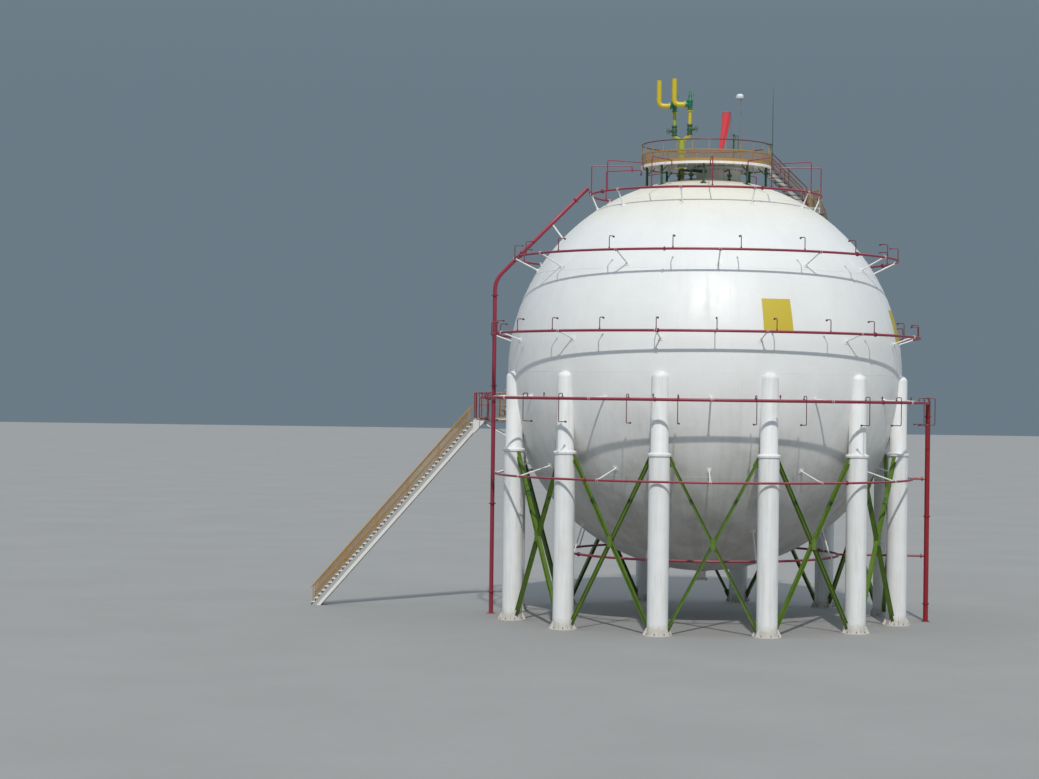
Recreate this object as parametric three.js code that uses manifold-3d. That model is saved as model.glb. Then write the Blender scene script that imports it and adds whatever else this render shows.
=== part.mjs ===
// Spherical pressure tank for liquefied gas, on twelve columns, with its cooling-water
// spray rings, stairs, top platform and relief valves. Millimetres, +Z up.
// Azimuth is measured from +X towards +Y: 270 degrees is the front, 180 the left side.
import * as THREE from "three";
import { mergeVertices } from "three/addons/utils/BufferGeometryUtils.js";
import Module from "manifold-3d";

const wasm = await Module();
wasm.setup();

// Driving dimensions of the vessel
const VESSEL_RADIUS = 9900;
const PLATE = 50;
const EQUATOR_LEVEL = 12300;
const MERIDIANS = 32;
const LATITUDE_STEP = 10;
const JOINT_GAP = 0.3;
const STRUT_FOOT = 220;
const STRUT_SHORT = 22;

// Columns, pitched at equal angles round the vessel
const COLUMN_COUNT = 12;
const COLUMN_PITCH_RADIUS = 9830;
const FIRST_COLUMN_AZIMUTH = 18.2;
const COLUMN_PITCH = 360 / COLUMN_COUNT;
const SLEEVE_RADIUS = 500;
const UPPER_PIPE_RADIUS = 420;
const COLLAR_RADIUS = 560;
const COLLAR_LEVEL = 8380;
const COLLAR_HEIGHT = 140;
const COLUMN_TOP = 12350;
const BASE_PLATE_RADIUS = 700;
const BASE_PLATE_THICKNESS = 50;
const COLUMN_SIDES = 10;

// Cross bracing between neighbouring columns
const BRACE_WIDTH = 150;
const BRACE_DEPTH = 200;
const BRACE_TOP = 8180;
const BRACE_BOTTOM = 380;

// Spray rings: pipe line radius, level and pipe radius, from the top down
const RINGS = {
  crown: { radius: 5800, level: 21300, pipe: 60 },
  upper: { radius: 9640, level: 18050, pipe: 60 },
  equator: { radius: 10770, level: 14200, pipe: 65 },
  column: { radius: 11280, level: 11000, pipe: 75 },
  lower: { radius: 10480, level: 7180, pipe: 55 },
  bottom: { radius: 6850, level: 3300, pipe: 60 },
};
const RING_SEGMENTS = 36;
const PIPE_SIDES = 5;

// Top platform
const PLATFORM_LEVEL = 22800;
const PLATFORM_RADIUS = 3300;
const PLATFORM_SIDES = 28;
const PLATFORM_FLAT = PLATFORM_RADIUS * Math.cos(Math.PI / PLATFORM_SIDES);
const RAIL_HEIGHT = 1070;
const RAIL_RADIUS = 24;

// Stairs
const LANDING_LEVEL = 9900;
const GROUND_RISERS = 48;
const GROUND_GOING = 179;
const GROUND_STAIR_WIDTH = 800;
const GROUND_STAIR_Y = 3000;
const GROUND_STRINGER_DEPTH = 500;
const GROUND_RAIL_HEIGHT = 860;
const LANDING_OUTER_X = -11940;
const LANDING_EDGE_DEPTH = 760;
const BACK_RAIL_LENGTH = 1270;
const LANDING_INNER_X = -9900;
const SPIRAL_RISER = 220;
const SPIRAL_GOING = 330;
const SPIRAL_TREADS = 50;
const SPIRAL_WIDTH = 600;
const SPIRAL_START_AZIMUTH = 163;
const REST_LANDINGS_AFTER = [12, 25, 38];
const REST_LANDING_ANGLE = 16;
const TOP_FLIGHT_AZIMUTH = 20;
const TOP_FLIGHT_RISERS = 9;
const FLIGHT_SEAT = 8;
const STAIR_RAIL_HEIGHT = 920;
const STRINGER_DEPTH = 220;
const STRINGER_THICKNESS = 40;
const TREAD_THICKNESS = 40;
const FLIGHT_THICKNESS = 50;
const POST_RADIUS = 22;

// Paint
const PAINT = {
  white: { color: 0xe4e4e0, roughness: 0.45, metalness: 0.0 },
  red: { color: 0x9e1b2f, roughness: 0.4, metalness: 0.0 },
  green: { color: 0x5d9a1e, roughness: 0.45, metalness: 0.0 },
  amber: { color: 0xb98a45, roughness: 0.5, metalness: 0.0 },
  yellow: { color: 0xd9b51c, roughness: 0.4, metalness: 0.0 },
  valve: { color: 0x1f7a4e, roughness: 0.4, metalness: 0.1 },
  steel: { color: 0x6f757a, roughness: 0.5, metalness: 0.6 },
  sock: { color: 0xd8404c, roughness: 0.9, metalness: 0.0 },
};

const up = new THREE.Vector3(0, 0, 1);
const radians = THREE.MathUtils.degToRad;

// A point from its azimuth in degrees, its distance from the vessel's axis and its level.
function polar(azimuth, radius, level) {
  const a = radians(azimuth);
  return new THREE.Vector3(radius * Math.cos(a), radius * Math.sin(a), level);
}

// The horizontal direction square to an azimuth.
function across(azimuth) {
  return polar(azimuth + 90, 1, 0);
}

// A closed geometry as a solid that can be joined and cut.
function solidOf(geometry) {
  const bare = geometry.index ? geometry.toNonIndexed() : geometry.clone();
  bare.deleteAttribute("normal");
  bare.deleteAttribute("uv");
  const merged = mergeVertices(bare, 1e-3);
  const index = merged.index.array;
  const corners = [];
  for (let i = 0; i < index.length; i += 3) {
    const [a, b, c] = [index[i], index[i + 1], index[i + 2]];
    if (a !== b && b !== c && c !== a) corners.push(a, b, c);
  }
  const make = (triangles) =>
    new wasm.Manifold(
      new wasm.Mesh({
        numProp: 3,
        vertProperties: merged.attributes.position.array,
        triVerts: new Uint32Array(triangles),
      }),
    );
  const made = make(corners);
  if (made.volume() > 0) return made;
  for (let i = 0; i < corners.length; i += 3)
    [corners[i + 1], corners[i + 2]] = [corners[i + 2], corners[i + 1]];
  return make(corners);
}

// All the solids of a list joined into one.
function joined(solids) {
  return solids.reduce((sum, solid) => sum.add(solid));
}

// A solid with every cutter taken away.
function cutBy(solid, cutters) {
  return cutters.reduce((rest, cutter) => rest.subtract(cutter), solid);
}

const tank = new THREE.Group();

// Adds a solid to the tank as a named mesh.
function addMesh(name, solid, paint) {
  const { vertProperties, triVerts } = solid.getMesh();
  const geometry = new THREE.BufferGeometry();
  const positions = new THREE.BufferAttribute(new Float32Array(vertProperties), 3);
  geometry.setAttribute("position", positions);
  geometry.setIndex(new THREE.BufferAttribute(new Uint32Array(triVerts), 1));
  geometry.computeVertexNormals();
  const mesh = new THREE.Mesh(geometry, new THREE.MeshStandardMaterial(PAINT[paint]));
  mesh.name = name;
  tank.add(mesh);
}

// A straight round bar from one point to another.
function rod(from, to, radius, sides = PIPE_SIDES) {
  const along = new THREE.Vector3().subVectors(to, from);
  const bar = new THREE.CylinderGeometry(radius, radius, along.length(), sides);
  const turn = new THREE.Quaternion();
  turn.setFromUnitVectors(new THREE.Vector3(0, 1, 0), along.clone().normalize());
  bar.applyQuaternion(turn);
  const middle = from.clone().add(to).multiplyScalar(0.5);
  bar.translate(middle.x, middle.y, middle.z);
  return solidOf(bar);
}

// An upright turned shape: its outline is a list of [radius, level] that starts and ends
// on the axis, or ends where it starts.
function turned(outline, sides, centre = new THREE.Vector3()) {
  const points = outline.map(([radius, level]) => new THREE.Vector2(radius, level));
  const shape = new THREE.LatheGeometry(points, sides);
  shape.rotateX(Math.PI / 2);
  shape.translate(centre.x, centre.y, centre.z);
  return solidOf(shape);
}

// A box with its size along three directions about its middle.
function block(middle, xAxis, yAxis, size) {
  const box = new THREE.BoxGeometry(size[0], size[1], size[2]);
  const zAxis = new THREE.Vector3().crossVectors(xAxis, yAxis);
  box.applyMatrix4(new THREE.Matrix4().makeBasis(xAxis, yAxis, zAxis));
  box.translate(middle.x, middle.y, middle.z);
  return solidOf(box);
}

// A body that runs through sections, each a list of as many points in the same order.
function loft(sections, closed = false) {
  const count = sections[0].length;
  const corners = sections.flat().flatMap((p) => [p.x, p.y, p.z]);
  const index = [];
  const bands = closed ? sections.length : sections.length - 1;
  for (let s = 0; s < bands; s++) {
    const here = s * count;
    const next = ((s + 1) % sections.length) * count;
    for (let i = 0; i < count; i++) {
      const j = (i + 1) % count;
      index.push(here + i, here + j, next + j, here + i, next + j, next + i);
    }
  }
  if (!closed) {
    const last = (sections.length - 1) * count;
    for (let i = 1; i < count - 1; i++) {
      index.push(0, i + 1, i);
      index.push(last, last + i, last + i + 1);
    }
  }
  const body = new THREE.BufferGeometry();
  body.setAttribute("position", new THREE.Float32BufferAttribute(corners, 3));
  body.setIndex(index);
  return solidOf(body);
}

// A pipe along straight legs, mitred at its bends. The normal is square to most legs.
function pipe(points, radius, sides = PIPE_SIDES, normal = up) {
  const sections = points.map((point, i) => {
    const before = points[Math.max(i - 1, 0)];
    const after = points[Math.min(i + 1, points.length - 1)];
    const arriving = point.clone().sub(before).normalize();
    const leaving = after.clone().sub(point).normalize();
    const tangent = arriving.clone().add(leaving).normalize();
    const stretch = 1 / Math.max(tangent.dot(i ? arriving : leaving), 0.5);
    const side = new THREE.Vector3().crossVectors(tangent, normal).normalize();
    const lift = new THREE.Vector3().crossVectors(side, tangent).normalize();
    return Array.from({ length: sides }, (_, k) => {
      const turn = (2 * Math.PI * (k + 0.5)) / sides;
      return point
        .clone()
        .addScaledVector(side, radius * stretch * Math.cos(turn))
        .addScaledVector(lift, radius * Math.sin(turn));
    });
  });
  return loft(sections);
}

// The outline of the vessel between two angles from its top, at a given radius.
function meridian(radius, fromAngle, toAngle) {
  const steps = Math.round((toAngle - fromAngle) / LATITUDE_STEP);
  return Array.from({ length: steps + 1 }, (_, i) => {
    const angle = radians(fromAngle + ((toAngle - fromAngle) * i) / steps);
    const level = EQUATOR_LEVEL + radius * Math.cos(angle);
    return [Math.abs(radius * Math.sin(angle)), level];
  });
}

// The whole outside of the vessel, grown by the joint gap, for cutting what meets it.
const vesselCutter = turned(
  meridian(VESSEL_RADIUS + JOINT_GAP, 0, 180).map(([r, z], i, all) => [
    i === 0 || i === all.length - 1 ? 0 : r,
    z,
  ]),
  MERIDIANS,
);

// The middle of the plates' thickness, where the feet of welded struts end.
const plateMiddle = turned(
  meridian(VESSEL_RADIUS - PLATE / 2, 0, 180).map(([r, z], i, all) => [
    i === 0 || i === all.length - 1 ? 0 : r,
    z,
  ]),
  MERIDIANS,
);

// The vessel's radius at a level above or below its equator.
function vesselRadiusAt(level) {
  return Math.sqrt(Math.max(VESSEL_RADIUS ** 2 - (level - EQUATOR_LEVEL) ** 2, 0));
}

// The plates between two angles from the top, a little short of each neighbour.
function plateZone(fromAngle, toAngle) {
  const half = THREE.MathUtils.radToDeg(JOINT_GAP / 2 / VESSEL_RADIUS);
  const from = fromAngle === 0 ? 0 : fromAngle + half;
  const to = toAngle === 180 ? 180 : toAngle - half;
  const outside = meridian(VESSEL_RADIUS, from, to);
  const inside = meridian(VESSEL_RADIUS - PLATE, from, to).reverse();
  if (to === 180) {
    outside[outside.length - 1][0] = 0;
    inside[0][0] = 0;
    return turned([...inside, ...outside], MERIDIANS);
  }
  if (from === 0) return turned([...outside, ...inside], MERIDIANS);
  return turned([...outside, ...inside, [...outside[0]]], MERIDIANS);
}

// The spiral stair's line: the inner edge keeps clear of the plates under its stringer,
// and swings out past the columns below the equator.
function spiralInnerRadius(level) {
  const under = Math.max(level - FLIGHT_THICKNESS - STRINGER_DEPTH, EQUATOR_LEVEL);
  const swing = THREE.MathUtils.smoothstep(13900 - level, 0, 2600);
  return vesselRadiusAt(under) + 100 + 540 * swing;
}

// One entry for each tread and each rest landing, from the bottom up.
function spiralLine() {
  const line = [];
  let azimuth = SPIRAL_START_AZIMUTH;
  let level = LANDING_LEVEL;
  for (let tread = 1; tread <= SPIRAL_TREADS; tread++) {
    const middle = spiralInnerRadius(level) + SPIRAL_WIDTH / 2;
    const next = spiralInnerRadius(level + SPIRAL_RISER) + SPIRAL_WIDTH / 2;
    const aside = Math.sqrt(Math.max(SPIRAL_GOING ** 2 - (next - middle) ** 2, 0));
    const turn = THREE.MathUtils.radToDeg(aside / next);
    const below = level;
    level += SPIRAL_RISER;
    line.push({ azimuth, below, level, turn, rest: false });
    azimuth -= turn;
    if (REST_LANDINGS_AFTER.includes(tread)) {
      const step = { below: level, level, turn: REST_LANDING_ANGLE / 2, rest: true };
      for (const half of [0, 1])
        line.push({ ...step, azimuth: azimuth - step.turn * half });
      azimuth -= REST_LANDING_ANGLE;
    }
  }
  const turn = azimuth - (TOP_FLIGHT_AZIMUTH - 5);
  line.push({ azimuth, below: level, level, turn: turn / 2, rest: true });
  azimuth -= turn / 2;
  line.push({ azimuth, below: level, level, turn: turn / 2, rest: true });
  return { line, endAzimuth: azimuth - turn / 2, endLevel: level };
}
const spiral = spiralLine();

// The level of the spiral stair at an azimuth, or null where it doesn't pass.
function spiralLevelAt(azimuth) {
  const a = ((azimuth % 360) + 360) % 360;
  const step = spiral.line.find((s) => a <= s.azimuth && a > s.azimuth - s.turn);
  return step ? step.level : null;
}

// True where something at this azimuth and level would stand in the way on the stair.
function blocksStair(azimuth, level) {
  return [-3, 0, 3].some((aside) => {
    const tread = spiralLevelAt(azimuth + aside);
    return tread !== null && level > tread - 700 && level < tread + 2300;
  });
}

// Struts from the plates to a ring, at equal angles, but for those in the stair's way.
function ringStruts(ring, count, firstAzimuth, footLevel, radius = 36) {
  const struts = [];
  for (let i = 0; i < count; i++) {
    const azimuth = firstAzimuth + (360 / count) * i;
    if (blocksStair(azimuth, ring.level)) continue;
    const foot = polar(azimuth, vesselRadiusAt(footLevel), footLevel);
    const head = polar(azimuth, ring.radius - STRUT_SHORT, ring.level);
    const inside = foot.clone().sub(head).setLength(STRUT_FOOT).add(foot);
    struts.push(rod(inside, head, radius, 4).subtract(plateMiddle));
  }
  return struts;
}

// A ring pipe, whole or with an opening between two azimuths.
function ringPipe(ring, gap = null, grow = 0) {
  const from = gap ? gap[1] : 0;
  const sweep = gap ? 360 - (gap[1] - gap[0]) : 360;
  const steps = Math.round((RING_SEGMENTS * sweep) / 360);
  const count = gap ? steps + 1 : steps;
  const sections = Array.from({ length: count }, (_, i) => {
    const azimuth = from + (sweep * i) / steps;
    return Array.from({ length: PIPE_SIDES }, (_, k) => {
      const turn = (2 * Math.PI * (k + 0.5)) / PIPE_SIDES;
      const reach = ring.pipe + grow;
      const radius = ring.radius + reach * Math.cos(turn);
      return polar(azimuth, radius, ring.level + reach * Math.sin(turn));
    });
  });
  return loft(sections, !gap);
}

const CROWN_RING_GAP = [9, 41];
const COLUMN_RING_GAP = [159.5, 169];
const ringCutters = {
  crown: ringPipe(RINGS.crown, CROWN_RING_GAP, JOINT_GAP),
  upper: ringPipe(RINGS.upper, null, JOINT_GAP),
  equator: ringPipe(RINGS.equator, null, JOINT_GAP),
  column: ringPipe(RINGS.column, COLUMN_RING_GAP, JOINT_GAP),
  lower: ringPipe(RINGS.lower, null, JOINT_GAP),
  bottom: ringPipe(RINGS.bottom, null, JOINT_GAP),
};

// Risers that feed the rings
const LEFT_RISER = { azimuth: 180, radius: 10660, pipe: 105, bend: 17000 };
const LEFT_RISER_TOP = { radius: 5990, level: 21700 };
const RIGHT_RISER = { azimuth: 1.2, radius: 11280, pipe: 105 };
const FOOT_PLATE = { radius: 220, thickness: 30 };

function leftRiserLine() {
  const { azimuth, radius, bend } = LEFT_RISER;
  return [
    polar(azimuth, radius, FOOT_PLATE.thickness / 2),
    polar(azimuth, radius, bend),
    polar(azimuth, LEFT_RISER_TOP.radius, LEFT_RISER_TOP.level),
    polar(azimuth, RINGS.crown.radius, RINGS.crown.level),
  ];
}
const leftRiserCutter = pipe(
  leftRiserLine().slice(0, 2),
  LEFT_RISER.pipe + JOINT_GAP,
  8,
  across(LEFT_RISER.azimuth),
);

// Where the left riser's sloping leg passes a distance from the axis.
function slopingLegAt(radius) {
  const { azimuth, bend } = LEFT_RISER;
  const run = LEFT_RISER.radius - LEFT_RISER_TOP.radius;
  const rise = LEFT_RISER_TOP.level - bend;
  const share = (LEFT_RISER.radius - radius) / run;
  return polar(azimuth, radius, bend + rise * share);
}

function footPlate(azimuth, radius) {
  const foot = polar(azimuth, radius, 0);
  const r = FOOT_PLATE.radius;
  const t = FOOT_PLATE.thickness;
  return turned([[0, 0], [r, 0], [r, t], [0, t]], 8, foot);
}

function buildLeftRiser() {
  const line = leftRiserLine();
  const main = pipe(line, LEFT_RISER.pipe, 8, across(LEFT_RISER.azimuth));
  const upper = RINGS.upper;
  const tee = rod(
    slopingLegAt(upper.radius + 200),
    polar(LEFT_RISER.azimuth, upper.radius, upper.level),
    upper.pipe - 5,
  );
  const whole = joined([main, tee, footPlate(LEFT_RISER.azimuth, LEFT_RISER.radius)]);
  return cutBy(whole, [ringCutters.crown, ringCutters.upper]);
}

function buildRightRiser() {
  const { azimuth, radius } = RIGHT_RISER;
  const foot = polar(azimuth, radius, FOOT_PLATE.thickness / 2);
  const main = rod(foot, polar(azimuth, radius, RINGS.column.level), RIGHT_RISER.pipe, 8);
  const branch = (ring) =>
    rod(polar(azimuth, radius, ring.level), polar(azimuth, ring.radius, ring.level), ring.pipe - 5);
  const whole = joined([
    main,
    branch(RINGS.lower),
    branch(RINGS.bottom),
    footPlate(azimuth, radius),
  ]);
  return cutBy(whole, [ringCutters.column, ringCutters.lower, ringCutters.bottom]);
}

// The vessel's plates in five zones, with the struts that are welded to them
const CROWN_EDGE = 30;
const UPPER_EDGE = 60;
const LOWER_EDGE = 120;
const BOTTOM_EDGE = 150;

function legStrut(legRadius, footRadius) {
  const footLevel = EQUATOR_LEVEL + Math.sqrt(VESSEL_RADIUS ** 2 - footRadius ** 2);
  const foot = polar(LEFT_RISER.azimuth, footRadius, footLevel);
  const head = slopingLegAt(legRadius);
  const inside = foot.clone().sub(head).setLength(STRUT_FOOT).add(foot);
  return rod(inside, head, 45, 4).subtract(plateMiddle);
}

function buildVessel() {
  const legCutter = pipe(
    leftRiserLine().slice(1),
    LEFT_RISER.pipe + JOINT_GAP,
    8,
    across(LEFT_RISER.azimuth),
  );
  addMesh("shell_crown", plateZone(0, CROWN_EDGE), "white");
  const upperBelt = joined([
    plateZone(CROWN_EDGE, UPPER_EDGE),
    ...ringStruts(RINGS.crown, 10, 258, 20550),
    ...ringStruts(RINGS.upper, 12, 274.2, 17450),
    legStrut(7800, 7200),
  ]);
  const upperCutters = [ringCutters.crown, ringCutters.upper, legCutter];
  addMesh("shell_upper_belt", cutBy(upperBelt, upperCutters), "white");
  const equatorBelt = joined([
    plateZone(UPPER_EDGE, LOWER_EDGE),
    ...ringStruts(RINGS.equator, 13, 258, 13860),
    ...ringStruts(RINGS.column, COLUMN_COUNT, FIRST_COLUMN_AZIMUTH + 15, 11100, 45),
    ...ringStruts(RINGS.lower, COLUMN_COUNT, FIRST_COLUMN_AZIMUTH + 15, 7700),
  ]);
  const equatorCutters = [ringCutters.equator, ringCutters.column, ringCutters.lower];
  addMesh("shell_equator_belt", cutBy(equatorBelt, equatorCutters), "white");
  const lowerBelt = joined([
    plateZone(LOWER_EDGE, BOTTOM_EDGE),
    ...ringStruts(RINGS.bottom, 8, 22.5, 4750),
  ]);
  addMesh("shell_lower_belt", lowerBelt.subtract(ringCutters.bottom), "white");
  addMesh("shell_bottom", plateZone(BOTTOM_EDGE, 180), "white");
}

// Columns: a base plate, a thick lower sleeve with a rain collar, a slimmer upper pipe that
// meets the plates, and a domed cap
function columnOutline(grow = 0) {
  const collarTop = COLLAR_LEVEL + COLLAR_HEIGHT;
  return [
    [0, 0],
    [BASE_PLATE_RADIUS + grow, 0],
    [BASE_PLATE_RADIUS + grow, BASE_PLATE_THICKNESS],
    [SLEEVE_RADIUS + grow, BASE_PLATE_THICKNESS],
    [SLEEVE_RADIUS + grow, COLLAR_LEVEL],
    [COLLAR_RADIUS + grow, COLLAR_LEVEL],
    [COLLAR_RADIUS + grow, collarTop - 50],
    [UPPER_PIPE_RADIUS + grow, collarTop],
    [UPPER_PIPE_RADIUS + grow, COLUMN_TOP - 280],
    [UPPER_PIPE_RADIUS * 0.72, COLUMN_TOP - 90],
    [0, COLUMN_TOP],
  ];
}

function columnAzimuth(number) {
  return FIRST_COLUMN_AZIMUTH + COLUMN_PITCH * number;
}

function columnSolid(number, grow = 0) {
  const azimuth = columnAzimuth(number);
  const points = columnOutline(grow).map(([r, z]) => new THREE.Vector2(r, z));
  const shape = new THREE.LatheGeometry(points, COLUMN_SIDES);
  shape.rotateX(Math.PI / 2);
  shape.rotateZ(radians(azimuth));
  const foot = polar(azimuth, COLUMN_PITCH_RADIUS, 0);
  shape.translate(foot.x, foot.y, 0);
  return solidOf(shape);
}

function twoDigits(number) {
  return String(number).padStart(2, "0");
}

function buildColumns() {
  for (let i = 0; i < COLUMN_COUNT; i++) {
    const column = columnSolid(i).subtract(vesselCutter);
    addMesh(`column_${twoDigits(i + 1)}`, column, "white");
  }
}

// One bay of bracing: two crossing beams with a gusset plate where they cross
function braceBay(number) {
  const left = polar(columnAzimuth(number), COLUMN_PITCH_RADIUS, 0);
  const right = polar(columnAzimuth(number + 1), COLUMN_PITCH_RADIUS, 0);
  const along = right.clone().sub(left).normalize();
  const outward = polar(columnAzimuth(number + 0.5), 1, 0);
  const span = right.distanceTo(left);
  const slope = (BRACE_TOP - BRACE_BOTTOM) / (span - 2 * SLEEVE_RADIUS);
  const inset = SLEEVE_RADIUS - 150;
  const drop = slope * (SLEEVE_RADIUS - inset);
  const at = (distance, level) =>
    left.clone().addScaledVector(along, distance).setZ(level);
  const low = BRACE_BOTTOM - drop;
  const high = BRACE_TOP + drop;
  const beam = (fromLevel, toLevel) => {
    const from = at(inset, fromLevel);
    const to = at(span - inset, toLevel);
    const axis = to.clone().sub(from).normalize();
    const width = new THREE.Vector3().crossVectors(axis, outward);
    const centre = from.clone().add(to).multiplyScalar(0.5);
    return block(centre, axis, width, [from.distanceTo(to), BRACE_WIDTH, BRACE_DEPTH]);
  };
  const crossing = at(span / 2, (BRACE_TOP + BRACE_BOTTOM) / 2);
  const gusset = block(crossing, along, up, [330, 640, BRACE_DEPTH + 40]);
  const whole = joined([beam(low, high), beam(high, low), gusset]);
  return cutBy(whole, [
    columnSolid(number, JOINT_GAP),
    columnSolid(number + 1, JOINT_GAP),
  ]);
}

function buildBraces() {
  for (let i = 0; i < COLUMN_COUNT; i++)
    addMesh(`brace_bay_${twoDigits(i + 1)}`, braceBay(i), "green");
}

// Nozzles that stand on a ring and lean in over the plates
function hookedNozzles(ring, count, firstAzimuth, height, reach, radius = 26) {
  const nozzles = [];
  for (let i = 0; i < count; i++) {
    const azimuth = firstAzimuth + (360 / count) * i;
    if (blocksStair(azimuth, ring.level)) continue;
    const line = [
      polar(azimuth, ring.radius, ring.level),
      polar(azimuth, ring.radius, ring.level + height),
      polar(azimuth, ring.radius - reach, ring.level + height),
    ];
    nozzles.push(pipe(line, radius, 3, across(azimuth)));
  }
  return nozzles;
}

// Drop pipes that rise from the big ring beside each column, loop out over it and hang
// outside it, with their tips turned in under it
const DROP = { aside: 6, rise: 230, out: 270, fall: 1100, reach: 500, radius: 30 };
function dropPipes() {
  const ring = RINGS.column;
  const outside = ring.radius + DROP.out;
  const drops = [];
  for (let i = 0; i < COLUMN_COUNT; i++)
    for (const aside of [-DROP.aside, DROP.aside]) {
      const azimuth = columnAzimuth(i) + aside;
      if (azimuth > 118 && azimuth < 174) continue;
      const line = [
        polar(azimuth, ring.radius, ring.level),
        polar(azimuth, ring.radius, ring.level + DROP.rise),
        polar(azimuth, outside, ring.level + DROP.rise),
        polar(azimuth, outside, ring.level - DROP.fall),
        polar(azimuth, outside - DROP.reach, ring.level - DROP.fall),
      ];
      drops.push(pipe(line, DROP.radius, 3, across(azimuth)));
    }
  return drops;
}

// Arms of the crown ring: up, then in over the crown, and down at the tip
function crownArms() {
  const ring = RINGS.crown;
  const arms = [];
  for (let i = 0; i < 12; i++) {
    const azimuth = 3 + 30 * i;
    if (azimuth > 20 && azimuth < 40) continue;
    const line = [
      polar(azimuth, ring.radius, ring.level),
      polar(azimuth, ring.radius, PLATFORM_LEVEL),
      polar(azimuth, PLATFORM_RADIUS + 450, PLATFORM_LEVEL),
      polar(azimuth, PLATFORM_RADIUS + 450, PLATFORM_LEVEL - 260),
    ];
    arms.push(pipe(line, 30, 3, across(azimuth)));
  }
  return arms;
}

function buildRings() {
  const crown = joined([ringPipe(RINGS.crown, CROWN_RING_GAP), ...crownArms()]);
  addMesh("spray_ring_crown", crown, "red");
  const upperNozzles = hookedNozzles(RINGS.upper, 19, 261, 650, 320);
  addMesh("spray_ring_upper", joined([ringPipe(RINGS.upper), ...upperNozzles]), "red");
  const equatorNozzles = hookedNozzles(RINGS.equator, 24, 258.1, 620, 260);
  const equator = joined([ringPipe(RINGS.equator), ...equatorNozzles]);
  addMesh("spray_ring_equator", equator.subtract(leftRiserCutter), "red");
  const column = joined([ringPipe(RINGS.column, COLUMN_RING_GAP), ...dropPipes()]);
  addMesh("spray_ring_columns", column, "red");
  addMesh("spray_ring_lower", ringPipe(RINGS.lower), "red");
  addMesh("spray_ring_bottom", ringPipe(RINGS.bottom), "red");
  addMesh("riser_left", buildLeftRiser(), "red");
  addMesh("riser_right", buildRightRiser(), "red");
}

// Ground stair: a straight flight of open treads between two stringers, rising to +X
const GROUND_RUN = GROUND_RISERS * GROUND_GOING;
const GROUND_RISER = LANDING_LEVEL / GROUND_RISERS;
const xAxis = new THREE.Vector3(1, 0, 0);
const yAxis = new THREE.Vector3(0, 1, 0);

function groundPoint(share, aside, lift) {
  const x = LANDING_OUTER_X - GROUND_RUN * (1 - share);
  return new THREE.Vector3(x, GROUND_STAIR_Y + aside, LANDING_LEVEL * share + lift);
}

function groundProfile(outline, from, to) {
  const shift = (aside) => outline.map((p) => p.clone().setY(GROUND_STAIR_Y + aside));
  return loft([shift(from), shift(to)]);
}

// A bar along the slope, between two offsets below the line of the treads' noses
function groundStringer(side) {
  const below = -GROUND_RISER - FLIGHT_THICKNESS - GROUND_STRINGER_DEPTH;
  const above = -GROUND_RISER - FLIGHT_THICKNESS + 12;
  const outline = [
    groundPoint(-above / LANDING_LEVEL, 0, above),
    groundPoint(1, 0, above).add(new THREE.Vector3(-JOINT_GAP, 0, 0)),
    groundPoint(1, 0, below).add(new THREE.Vector3(-JOINT_GAP, 0, 0)),
    groundPoint(-below / LANDING_LEVEL, 0, below),
  ];
  const edge = side * (GROUND_STAIR_WIDTH / 2 - 6);
  const inside = edge - side * STRINGER_THICKNESS;
  return groundProfile(outline, Math.min(edge, inside), Math.max(edge, inside));
}

function buildGroundStair() {
  const outline = [];
  for (let i = 1; i < GROUND_RISERS; i++) {
    const nose = groundPoint(i / GROUND_RISERS, 0, 0);
    outline.push(nose.clone().setZ(nose.z - GROUND_RISER), nose);
  }
  const end = groundPoint(1, 0, 0).add(new THREE.Vector3(-JOINT_GAP, 0, 0));
  const soffit = end.z - GROUND_RISER - FLIGHT_THICKNESS;
  outline.push(end.clone().setZ(end.z - GROUND_RISER), end.clone().setZ(soffit));
  const start = groundPoint(1 / GROUND_RISERS, 0, 0);
  outline.push(new THREE.Vector3(start.x + FLIGHT_THICKNESS, 0, 0));
  const half = GROUND_STAIR_WIDTH / 2;
  const shape = new THREE.Shape(outline.map((p) => new THREE.Vector2(p.x, p.z)));
  const steps = new THREE.ExtrudeGeometry(shape, { depth: 2 * half, bevelEnabled: false });
  steps.rotateX(Math.PI / 2);
  steps.translate(0, GROUND_STAIR_Y + half, 0);
  return joined([solidOf(steps), groundStringer(-1), groundStringer(1)]);
}

// A straight flight's handrail: a top rail on posts that stand on the treads
function groundRail(side) {
  const aside = side * (GROUND_STAIR_WIDTH / 2 - 40);
  const treads = [1, 10, 19, 28, 37, 46];
  const at = (tread, lift) =>
    groundPoint(tread / GROUND_RISERS, aside, lift).add(
      new THREE.Vector3(GROUND_GOING / 2, 0, 0),
    );
  const first = treads[0] - 0.6;
  const last = treads[treads.length - 1] + 0.9;
  const height = GROUND_RAIL_HEIGHT;
  const parts = [pipe([at(first, height), at(last, height)], RAIL_RADIUS, 4, yAxis)];
  for (const tread of treads)
    parts.push(rod(at(tread, JOINT_GAP), at(tread, height), POST_RADIUS, 4));
  return joined(parts);
}

// Landing beside the vessel, on two beams and knees that reach the plates
const LANDING_Y = [GROUND_STAIR_Y - 400, GROUND_STAIR_Y + 450];

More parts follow.
